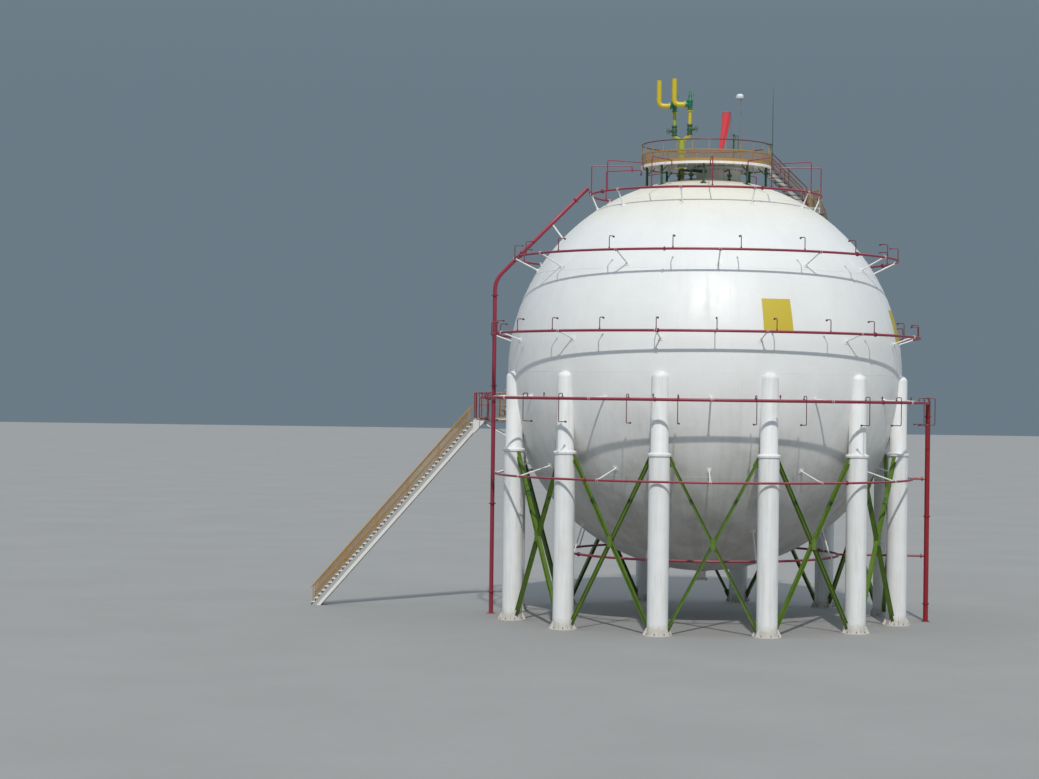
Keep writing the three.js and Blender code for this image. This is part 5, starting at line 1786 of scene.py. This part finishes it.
def flight_rails():
    shape = Shape()
    for aside in (-FLIGHT_RAIL, FLIGHT_RAIL):
        for lift, bore in ((0.95, 0.024), (0.52, 0.014), (0.16, 0.014)):
            ends = [flight_point(step, aside, lift) for step in (0.3, TOP_RISERS - 0.4)]
            shape.tube(ends, bore, 10)
        for step in (0.4, TOP_RISERS / 2, TOP_RISERS - 0.5):
            shape.tube([flight_point(step, aside, lift) for lift in (-0.06, 0.93)], 0.020, 8)
    return shape


def flight_mesh_lines():
    lines = []
    run = flight_point(TOP_RISERS - 0.5, 0, 0) - flight_point(0.4, 0, 0)
    count = int(run.length / MESH_PITCH)
    ahead, up = run * (STRAND_LEAN / count), UP * 0.78
    for aside in (-FLIGHT_RAIL, FLIGHT_RAIL):
        for k in range(count - STRAND_LEAN):
            foot = flight_point(0.4, aside, 0.16) + run * (k / count)
            lines += [[foot, foot + ahead + up], [foot + ahead, foot + up]]
    return lines


# The top flight's stringers take the same painted-shade grey as the ground flight's webs.
piece("top_flight_stringers", flight_stringers(), shade_grey_paint, ["top_flight"])
tread_angle = math.radians(TOP_FLIGHT_AZIMUTH)
flight_places = [(flight_point(k, 0, 0), (0, 0, tread_angle)) for k in range(1, TOP_RISERS)]
copies("top_flight_treads", spiral_tread(), flight_places, dark_steel_and_shade_paint, "stair_paint")
piece("top_flight_rails", flight_rails(), maroon_paint)
strands("top_flight_mesh", flight_mesh_lines(), 0.010, mesh_paint)

# %% [markdown]
# ## Platform
#
# The round floor sits on eight legs that stand on the crown. A slim plate bent to a circle
# closes its edge, and joists stiffen it from below. Only the lower half of the guard rail
# has mesh, and the rail opens only where the flight comes up.

# %% Platform
PIPE_HOLE = (-1.26, 0.0, 0.33)
LEG_REACH = 3.0


def platform_floor_shape():
    """The deck with a hole for the stand pipe, its edge plate and lip, and the joists."""
    shape = Shape()
    level, reach = PLATFORM_LEVEL, PLATFORM_RADIUS
    hole_x, hole_y, hole = PIPE_HOLE
    rows = []
    for turn in [360 * k / 84 for k in range(84)]:
        outer = [polar(turn, reach - 0.012, z) for z in (level, level - 0.03)]
        inner = [Vector((hole_x, hole_y, 0)) + polar(turn, hole, z) for z in (level, level - 0.03)]
        rows.append([outer[0], inner[0], inner[1], outer[1]])
    shape.sections(rows, closed=True)
    shape.hoop(oblong(reach - 0.012, reach, level, level - 0.12), 84)
    shape.hoop(oblong(reach - 0.075, reach - 0.0125, level - 0.109, level - 0.12), 84)
    shape.hoop(oblong(hole, hole + 0.01, level + 0.10, level - 0.06), 24, (hole_x, hole_y))
    joist, low = wide_flange(0.05, 0.078, 0.008, 0.006), level - 0.0695
    for k in range(13):
        x = -2.9 + 5.8 * k / 12
        half = math.sqrt(max((reach - 0.02) ** 2 - x**2, 0))
        spans = [(-half, half)]
        if abs(x - hole_x) < hole + 0.05:
            spans = [(-half, hole_y - hole - 0.04), (hole_y + hole + 0.04, half)]
        for start, end in spans:
            shape.section_bar((x, start, low), (x, end, low), joist)
    return shape


def platform_leg_shape():
    shape = Shape()
    x, foot, top = LEG_REACH, crown_level(LEG_REACH), PLATFORM_LEVEL
    shape.tube([(x, 0, foot - 0.04), (x, 0, top - 0.05)], 0.06, 12)
    shape.disc(0.11, 0.014, (x, 0, top - 0.064), sides=16)
    out = Vector((x, 0, foot - EQUATOR)).normalized()
    weld_pad(shape, Vector((x, 0, foot)), out, BACK, (0.02, 0.3, 0.3))
    shape.tube([(x, 0, top - 0.42), (x - 0.4, 0, top - 0.07)], 0.026, 8)
    return shape


piece("platform_deck", platform_floor_shape(), bounce_lit_cream_paint, ["platform_floor"])
leg_places = round_the_axis([42.5 + 45 * k for k in range(8)])
copies("platform_legs", platform_leg_shape(), leg_places, leg_paint, "stair_paint")

RAIL_FROM = TOP_FLIGHT_AZIMUTH + 6.8
RAIL_SWEEP = 360 - 13.6
RAIL_REACH = PLATFORM_RADIUS - 0.045


def rail_azimuths(count):
    """Equal steps along the guard rail, from one side of its opening to the other."""
    return [RAIL_FROM + RAIL_SWEEP * k / count for k in range(count + 1)]


def platform_posts():
    """T-section posts, the middle rail and the toe board."""
    shape = Shape()
    for azimuth in rail_azimuths(24):
        out, side = polar(azimuth, 1, 0), polar(azimuth + 90, 1, 0)
        foot, head = (polar(azimuth, RAIL_REACH, PLATFORM_LEVEL + z) for z in (0.002, 1.05))
        middle = (foot + head) / 2
        shape.box(middle, (0.030, 0.010, 1.048), (side, out, UP))
        shape.box(middle - out * 0.0175, (0.008, 0.026, 1.048), (side, out, UP))
    for thick, low, high in ((0.004, 0.50, 0.59), (0.006, 0.003, 0.15)):
        outline = oblong(RAIL_REACH - thick, RAIL_REACH + thick, low, high)
        rows = []
        for azimuth in rail_azimuths(96):
            rows.append([polar(azimuth, r, PLATFORM_LEVEL + z) for r, z in outline])
        shape.sections(rows)
    return shape


def platform_mesh_lines(pitch, lean):
    """Diagonal strands between the toe board and the middle rail, two ways over."""
    count = int(RAIL_REACH * math.radians(RAIL_SWEEP) / pitch)
    lines = []
    for k in range(count - lean):
        for low, high in ((k + lean, k), (k, k + lean)):
            line = []
            for t in (0, 0.33, 0.67, 1):
                azimuth = RAIL_FROM + RAIL_SWEEP * (low + (high - low) * t) / count
                line.append(polar(azimuth, RAIL_REACH + 0.012, PLATFORM_LEVEL + 0.15 + 0.40 * t))
            lines.append(line)
    return lines


piece("platform_posts", platform_posts(), rail_paint, ["platform_rail"])
top_rail = [polar(azimuth, RAIL_REACH, PLATFORM_LEVEL + 1.07) for azimuth in rail_azimuths(96)]
piece("platform_top_rail", Shape().tube(top_rail, 0.028, 10), maroon_paint)
strands("platform_mesh", platform_mesh_lines(0.055, 7), 0.012, rail_mesh_paint)

# %% [markdown]
# ## Manway drum and bottom outlet
#
# A short wide drum with a bolted cover is the way in. Its cover hides under the
# platform, with 32 bolts round it. The outlet at the very bottom has a flange of its own.

# %% Manway drum and bottom outlet
DRUM = (0.62, 0.0, 1.13)


def drum_shape():
    shape = Shape()
    x, y, reach = DRUM
    foot = crown_level(x + reach) - 0.05
    tall, wide = PLATFORM_LEVEL - 0.0603 - foot, reach + 0.09
    outline = [[reach, 0], [reach, tall - 0.13], [wide, tall - 0.12], [wide, tall - 0.067]]
    outline += [[reach + 0.075, tall - 0.063], [reach + 0.075, tall - 0.059]]
    outline += [[wide, tall - 0.055], [wide, tall]]
    shape.turned(outline, (x, y, foot), sides=64)
    bead = [(reach - 0.01, foot + 0.2), (reach + 0.012, foot + 0.22), (reach - 0.01, foot + 0.24)]
    return shape.hoop(bead, 48, (x, y))


def bottom_nozzle_shape():
    shape = Shape()
    low = EQUATOR - VESSEL_RADIUS
    outline = [[0.33, 0], [0.33, 0.036], [0.325, 0.0385], [0.325, 0.0415], [0.33, 0.044]]
    outline += [[0.33, 0.08], [0.26, 0.082], [0.23, 0.14], [0.23, 0.56]]
    shape.turned(outline, (0, 0, low - 0.52), sides=36)
    return shape.turned([[0.36, 0], [0.25, 0.02]], (0, 0, low - 0.024), sides=36)


# The drum's cream white is brightened as painted light, for the bounce light in the platform's
# shade.
piece("manway_drum_dressed", drum_shape(), bounce_lit_cream_paint, ["manway_drum"])
piece("bottom_outlet", bottom_nozzle_shape(), bounce_lit_cream_paint, ["bottom_nozzle"])
drum_bolts = []
cover = Vector((*DRUM[:2], PLATFORM_LEVEL - 0.20))
for k in range(32):
    point = cover + polar(11.25 * k, DRUM[2] + 0.052, 0)
    drum_bolts.append((point, (math.pi, 0, 0.2 * k)))
for k in range(12):
    point = polar(30 * k, 0.285, EQUATOR - VESSEL_RADIUS - 0.44)
    drum_bolts.append((point, (0, 0, 0.3 * k)))
cover_bolt = bolt_template(0.022, 0.03, 0.012)
copies("cover_bolts", cover_bolt, drum_bolts, zinc_steel, "galvanised_steel")

# %% [markdown]
# ## Relief valves
#
# One stand pipe forks to two safety valves, so that one can be shut off and tested while
# the other keeps watch. Each has a block valve with a handwheel below it and a wide vent
# beside it. Three small valved pipes join the crown to the drum under the platform.

# %% Relief manifold
STAND_FORK = 24.2
VALVES = [(-1.64, 0.34), (-0.86, -0.34)]
BLOCK_VALVE = 24.42
VALVE_INLET, VENT_LEVEL, VENT_TOP = 25.62, 25.92, 27.22


def handwheel(shape, hub, axis, reach):
    """A rimmed wheel with four spokes."""
    across = UP.cross(axis).normalized()
    over = axis.cross(across)
    rim = [hub + (across * c + over * s) * (reach - 0.014) for c, s in ring_of(28)]
    shape.tube(rim, 0.014, 8, closed=True)
    for turn in (0.5, math.pi / 2 + 0.5):
        spoke = (across * math.cos(turn) + over * math.sin(turn)) * (reach - 0.014)
        shape.tube([hub - spoke, hub + spoke], 0.009, 6)
    shape.disc(0.032, 0.05, hub - axis * 0.025, axis, 12)


def bolt_ring(shape, x, y, level, reach, length, bore=0.012, count=8):
    """Upright bolts through a flange whose axis stands at x, y."""
    for k in range(count):
        turn = 2 * math.pi * (k + 0.5) / count
        point = (x + math.cos(turn) * reach, y + math.sin(turn) * reach, level)
        shape.disc(bore, length, point, sides=6)


def stand_shape():
    """The stand pipe with its cap, the pad at its foot and one flanged joint."""
    shape = Shape()
    x, y, _ = PIPE_HOLE
    foot = crown_level(x) - 0.05
    shape.tube([(x, y, foot), (x, y, STAND_FORK - 0.02)], 0.15, 28)
    cap = [[0.15, 0], [0.13, 0.03], [0.08, 0.06], [0, 0.07]]
    shape.turned(cap, (x, y, STAND_FORK - 0.03), sides=28)
    shape.turned([[0.27, 0], [0.27, 0.014], [0.16, 0.04]], (x, y, foot + 0.035), sides=28)
    joint, thick, reach = STAND_FORK - 0.655, 0.042, 0.23
    for low in (joint - thick - 0.003, joint + 0.003):
        shape.disc(reach, thick, (x, y, low), sides=28)
    bolt_ring(shape, x, y, joint - thick - 0.03, reach * 0.82, 2 * thick + 0.06, 0.014, 12)
    return shape


def leg_shape(x, y):
    """One arm of the fork, up to the safety valve's inlet flange."""
    shape = Shape()
    start = (*PIPE_HOLE[:2], STAND_FORK - 0.09)
    line = [start, (x, y, STAND_FORK + 0.16), (x, y, BLOCK_VALVE + 0.01)]
    shape.tube(rounded(line, 0.16, 6), 0.085, 20)
    shape.tube([(x, y, BLOCK_VALVE + 0.47), (x, y, VALVE_INLET - 0.04)], 0.085, 20)
    return shape.disc(0.15, 0.042, (x, y, VALVE_INLET - 0.045), sides=24)


def block_valve_shape(x, y):
    """A flanged body with a bonnet, a stem and a handwheel that faces away from the stand."""
    shape = Shape()
    outline = [[0.15, 0], [0.15, 0.05], [0.115, 0.06], [0.11, 0.08], [0.125, 0.14], [0.145, 0.24]]
    outline += [[0.125, 0.34], [0.11, 0.40], [0.115, 0.42], [0.15, 0.43], [0.15, 0.48]]
    shape.turned(outline, (x, y, BLOCK_VALVE), sides=28)
    aside = (Vector((x, y, 0)) - Vector((*PIPE_HOLE[:2], 0))).normalized()
    centre = Vector((x, y, BLOCK_VALVE + 0.24))
    bonnet = [[0.10, 0.10], [0.10, 0.17], [0.055, 0.20], [0.05, 0.30], [0.03, 0.32], [0.03, 0.39]]
    shape.turned(bonnet, centre, aside, 20)
    shape.tube([centre + aside * 0.36, centre + aside * 0.47], 0.014, 10)
    handwheel(shape, centre + aside * 0.42, aside, 0.15)
    for level in (BLOCK_VALVE, BLOCK_VALVE + 0.48):
        bolt_ring(shape, x, y, level - 0.06, 0.125, 0.12)
    return shape


def safety_valve_shape(x, y):
    """A spring valve: body, bonnet with its bolts, cap, side outlet and test lever."""
    shape = Shape()
    base = VALVE_INLET + 0.0003
    outline = [[0.15, 0], [0.15, 0.045], [0.11, 0.06], [0.105, 0.08], [0.115, 0.15], [0.135, 0.24]]
    outline += [[0.14, 0.30], [0.14, 0.42], [0.165, 0.45], [0.165, 0.50], [0.12, 0.52]]
    outline += [[0.095, 0.56], [0.08, 0.78], [0.076, 0.80], [0.06, 0.83]]
    outline += [[0.045, 0.88], [0.035, 0.95], [0.02, 0.96]]
    shape.turned(outline, (x, y, base), sides=28)
    outlet = [[0.13, 0.08], [0.118, 0.12], [0.118, 0.18], [0.175, 0.19], [0.175, 0.236]]
    shape.turned(outlet, (x, y, VENT_LEVEL), -RIGHT, 24)
    bolt_ring(shape, x, y, base + 0.425, 0.148, 0.10)
    lever = [(x + 0.06, y, base + 0.86), (x + 0.15, y, base + 0.88), (x + 0.20, y, base + 0.70)]
    return shape.tube(rounded(lever, 0.05, 4), 0.012, 8)


def vent_shape(x, y):
    """A flanged elbow and an open stack beside the safety valve."""
    shape = Shape()
    start, stack = x - 0.2403, x - 0.80
    line = [(start, y, VENT_LEVEL), (stack, y, VENT_LEVEL), (stack, y, VENT_TOP)]
    shape.tube(rounded(line, 0.30, 10), 0.125, 24)
    shape.disc(0.18, 0.042, (start, y, VENT_LEVEL), -RIGHT, 28)
    shape.disc(0.131, 0.03, (stack, y, VENT_TOP - 0.031))
    for k in range(8):
        turn = 2 * math.pi * (k + 0.5) / 8
        aside, up = math.cos(turn) * 0.152, math.sin(turn) * 0.152
        shape.disc(0.012, 0.13, (start + 0.06, y + aside, VENT_LEVEL + up), -RIGHT, 6)
    return shape


def crown_pipework():
    """Small valved pipes between the crown and the drum under the platform."""
    shape = Shape()
    head = PLATFORM_LEVEL - 0.32
    drum = Vector((DRUM[0], DRUM[1], head))
    for x, y, bore in ((-1.35, -1.75, 0.05), (-0.75, -2.05, 0.045), (1.15, -2.0, 0.04)):
        foot = crown_level(x, y) - 0.03
        wall = drum + (Vector((x, y, head)) - drum).normalized() * DRUM[2]
        shape.tube(rounded([(x, y, foot), (x, y, head), wall], 0.12, 5), bore, 12)
        shape.disc(0.11, 0.03, (x, y, foot + 0.08), sides=16)
        shape.turned([[0.09, 0], [0.105, 0.05], [0.09, 0.12]], (x, y, foot + 0.2), sides=16)
        wheel = Vector((x, y - 0.2, foot + 0.26))
        shape.tube([(x, y, foot + 0.26), wheel], 0.016, 8)
        handwheel(shape, wheel, -BACK, 0.12)
    return shape


piece("crown_piping", crown_pipework(), leg_paint)
piece("stand_pipe", stand_shape(), olive_paint, ["relief_manifold"])
for k, spot in enumerate(VALVES, 1):
    fork_paint, safety = olive_paint if k == 1 else vent_paint, safety_valve_shape(*spot)
    piece(f"fork_leg_{k}", leg_shape(*spot), fork_paint)
    piece(f"block_valve_{k}", block_valve_shape(*spot), leg_paint)
    piece(f"safety_valve_{k}", safety, valve_paint, [f"relief_valve_{k}"])
    piece(f"vent_{k}", vent_shape(*spot), vent_paint, [f"vent_stack_{k}"])

# %% [markdown]
# ## Masts
#
# Slim posts stand on the platform: one for a lamp, one for the windsock, one for a gauge
# and a lightning rod outside the rail. Each post has a foot plate with four small gussets,
# and the rod is clipped to the platform's edge and rail.

# %% Masts
LAMP_MAST = (1.72, 0.60, 26.35, 0.026)
SOCK_MAST = (1.20, -0.90, 25.50, 0.028)
GAUGE_MAST = (1.36, -0.60, 24.40, 0.040)
HOOP = 0.21


def mast(shape, x, y, top, bore):
    """A post with a foot plate and four gussets."""
    low = Vector((x, y, PLATFORM_LEVEL + 0.02))
    gusset = [(bore * 0.8, 0), (0.10, 0), (bore * 0.9, 0.14)]
    shape.tube([(x, y, PLATFORM_LEVEL + 0.002), (x, y, top)], bore, 14)
    shape.disc(0.11, 0.018, (x, y, PLATFORM_LEVEL + 0.001))
    for k in range(4):
        side = polar(90 * k, 1, 0)
        rows = []
        for t in (-0.004, 0.004):
            rows.append([low + side * r + UP * z + side.cross(UP) * t for r, z in gusset])
        shape.sections(rows)


def lamp_post_shape():
    shape = Shape()
    x, y, top, _ = LAMP_MAST
    mast(shape, *LAMP_MAST)
    side = Vector((x - 0.245, y - 0.06, top + 0.02))
    shape.tube([side, side - UP * 0.07, (x - 0.03, y - 0.03, top - 0.06)], 0.010, 8)
    return shape


def lamp_head_shape():
    """A rounded box: each level is an oval with blunt corners, [level, width, depth]."""
    shape = Shape()
    x, y, top, _ = LAMP_MAST
    centre = Vector((x - 0.06, y - 0.06, top + 0.11))
    ovals = [(-0.115, 0.26, 0.18), (-0.09, 0.34, 0.24), (-0.02, 0.36, 0.26)]
    ovals += [(0.05, 0.34, 0.24), (0.10, 0.26, 0.18), (0.115, 0.16, 0.10)]
    rows = []
    for level, wide, deep in ovals:
        row = []
        for c, s in ring_of(24):
            across, over = (math.copysign(abs(value) ** 0.6, value) for value in (c, s))
            row.append(centre + Vector((wide / 2 * across, deep / 2 * over, level)))
        rows.append(row)
    shape.sections(rows)
    return shape.tube([centre + Vector((-0.19, 0, z)) for z in (0.03, -0.09)], 0.016, 8)


def sock_mast_shape():
    shape = Shape()
    x, y, top, _ = SOCK_MAST
    mast(shape, *SOCK_MAST)
    shape.turned([[0.034, 0], [0.034, 0.05], [0.014, 0.07]], (x, y, top - 0.055), sides=14)
    centre = Vector((x - HOOP - 0.024, y, top - 0.04))
    shape.tube([centre + polar(12 * k, HOOP, 0) for k in range(30)], 0.012, 8, closed=True)
    return shape.tube([(x - 0.02, y, top - 0.04), centre - RIGHT * HOOP], 0.008, 8)


def gauge_shape():
    """A capped pipe with a dial and a small pipe hooked round it."""
    shape = Shape()
    x, y, top, _ = GAUGE_MAST
    mast(shape, *GAUGE_MAST)
    shape.turned([[0.062, 0], [0.062, 0.05], [0.04, 0.06]], (x, y, top - 0.065), sides=18)
    shape.disc(0.075, 0.02, (x, y, top - 0.6), sides=18)
    dial = [[0.065, -0.02], [0.07, 0], [0.07, 0.035], [0.055, 0.045]]
    shape.turned(dial, (x, y - 0.075, top - 0.25), -BACK, 20)
    shape.tube([(x, y - 0.03, top - 0.25), (x, y - 0.08, top - 0.25)], 0.014, 8)
    hook = [(0, 0.95), (0.22, 0.95), (0.22, 0.06), (0.10, 0.06), (0.10, 0.24)]
    line = [(x + aside, y, top - drop) for aside, drop in hook]
    return shape.tube(rounded(line, 0.05, 4), 0.017, 8)


def rod_shape():
    """A tapering rod with two brackets that reach back to the platform."""
    azimuth, stand = TOP_FLIGHT_AZIMUTH - 360 / 14, FLIGHT_INNER + 0.05
    out, side = polar(azimuth, 1, 0), polar(azimuth + 90, 1, 0)
    line = [polar(azimuth, stand, level) for level in (PLATFORM_LEVEL - 0.15, 25.2, 26.3, 26.85)]
    shape = Shape().tube(line, [0.02, 0.02, 0.014, 0.004], 10)
    for level, reach in ((PLATFORM_LEVEL - 0.07, 0.055), (PLATFORM_LEVEL + 1.13, 0.34)):
        centre = polar(azimuth, stand + 0.0155 - reach / 2, level)
        shape.box(centre, (reach, 0.09, 0.05), (out, side, UP))
    return shape


piece("lamp_post", lamp_post_shape(), zinc_steel, ["lamp_mast"])
piece("lamp_head", lamp_head_shape(), lamp_grey)
piece("windsock_post", sock_mast_shape(), zinc_steel, ["windsock_mast"])
piece("gauge_post", gauge_shape(), leg_paint, ["gauge_standpipe"])
piece("lightning_spike", rod_shape(), leg_paint, ["lightning_rod"])

# %% [markdown]
# ## Windsock
#
# The sock is a tapered sleeve of thin cloth, laced to the hoop and open at both ends. In
# still air it hangs almost straight and folds into soft pleats that grow towards the
# tail. It is one skin with real thickness.

# %% Windsock
# Drop below the hoop, radius and lean at four places down the sleeve
SOCK_STOPS = [(0.0143, 0.205, 0), (0.5, 0.215, 0.04), (1.2, 0.185, 0.13), (1.95, 0.12, 0.27)]
SOCK_RINGS, PLEAT, CLOTH = 40, 0.11, 0.0015


def sock_at(drop):
    """The sleeve's radius and lean at a drop below its hoop."""
    for (d0, r0, l0), (d1, r1, l1) in zip(SOCK_STOPS, SOCK_STOPS[1:]):
        if drop <= d1 + 1e-6:
            t = (drop - d0) / (d1 - d0)
            return r0 + (r1 - r0) * t, l0 + (l1 - l0) * t


def sock_skin(inset):
    """One face of the cloth, ring by ring from the hoop down."""
    x, y, top, _ = SOCK_MAST
    centre = Vector((x - HOOP - 0.024, y, top - 0.04))
    first, last = SOCK_STOPS[0][0], SOCK_STOPS[-1][0]
    rows = []
    for k in range(SOCK_RINGS + 1):
        share, drop = k / SOCK_RINGS, first + (last - first) * k / SOCK_RINGS
        reach, lean = sock_at(drop)
        fold = PLEAT * min(share * 3, 1)
        row = []
        for c, s in ring_of(72):
            turn = math.atan2(s, c)
            wave = math.cos(5 * turn + 1.4 * share) * 0.6
            wave += math.cos(3 * turn - 2.1 * share + 0.7) * 0.4
            r = reach * (1 - fold + fold * wave) - inset
            row.append(centre + Vector((-lean + r * c, r * s, -drop)))
        rows.append(row)
    return rows


sleeve = Shape().sections(sock_skin(0.0) + sock_skin(CLOTH)[::-1], closed=True)
sock = piece("windsock_cloth", sleeve, sock_cloth, ["windsock_sleeve"])

# %% [markdown]
# ## Plain panels
#
# Two square panels sit on the upper half of the sphere. They are thin sheets bent to the
# plates, and left bare here.

# %% Panels
PANEL_WIDTH, PANEL_HEIGHT = 1.46, 1.66


def panel_shape(azimuth, level):
    """A thin sheet that follows the plates, with its outer face a few millimetres proud."""
    middle = math.asin((level - EQUATOR) / VESSEL_RADIUS)
    span = math.degrees(PANEL_WIDTH / (VESSEL_RADIUS * math.cos(middle)))
    eighths = [k / 8 - 0.5 for k in range(9)]
    rows = []
    for share in eighths:
        rise = middle + PANEL_HEIGHT / VESSEL_RADIUS * share
        row = []
        for lift, across in ((0.006, eighths), (0.012, eighths[::-1])):
            reach = VESSEL_RADIUS + lift
            level = EQUATOR + reach * math.sin(rise)
            row += [polar(azimuth + span * c, reach * math.cos(rise), level) for c in across]
        rows.append(row)
    return Shape().sections(rows)


piece("panel_left", panel_shape(291, 15.0), sign_paint)
piece("panel_right", panel_shape(349, 14.75), sign_paint)
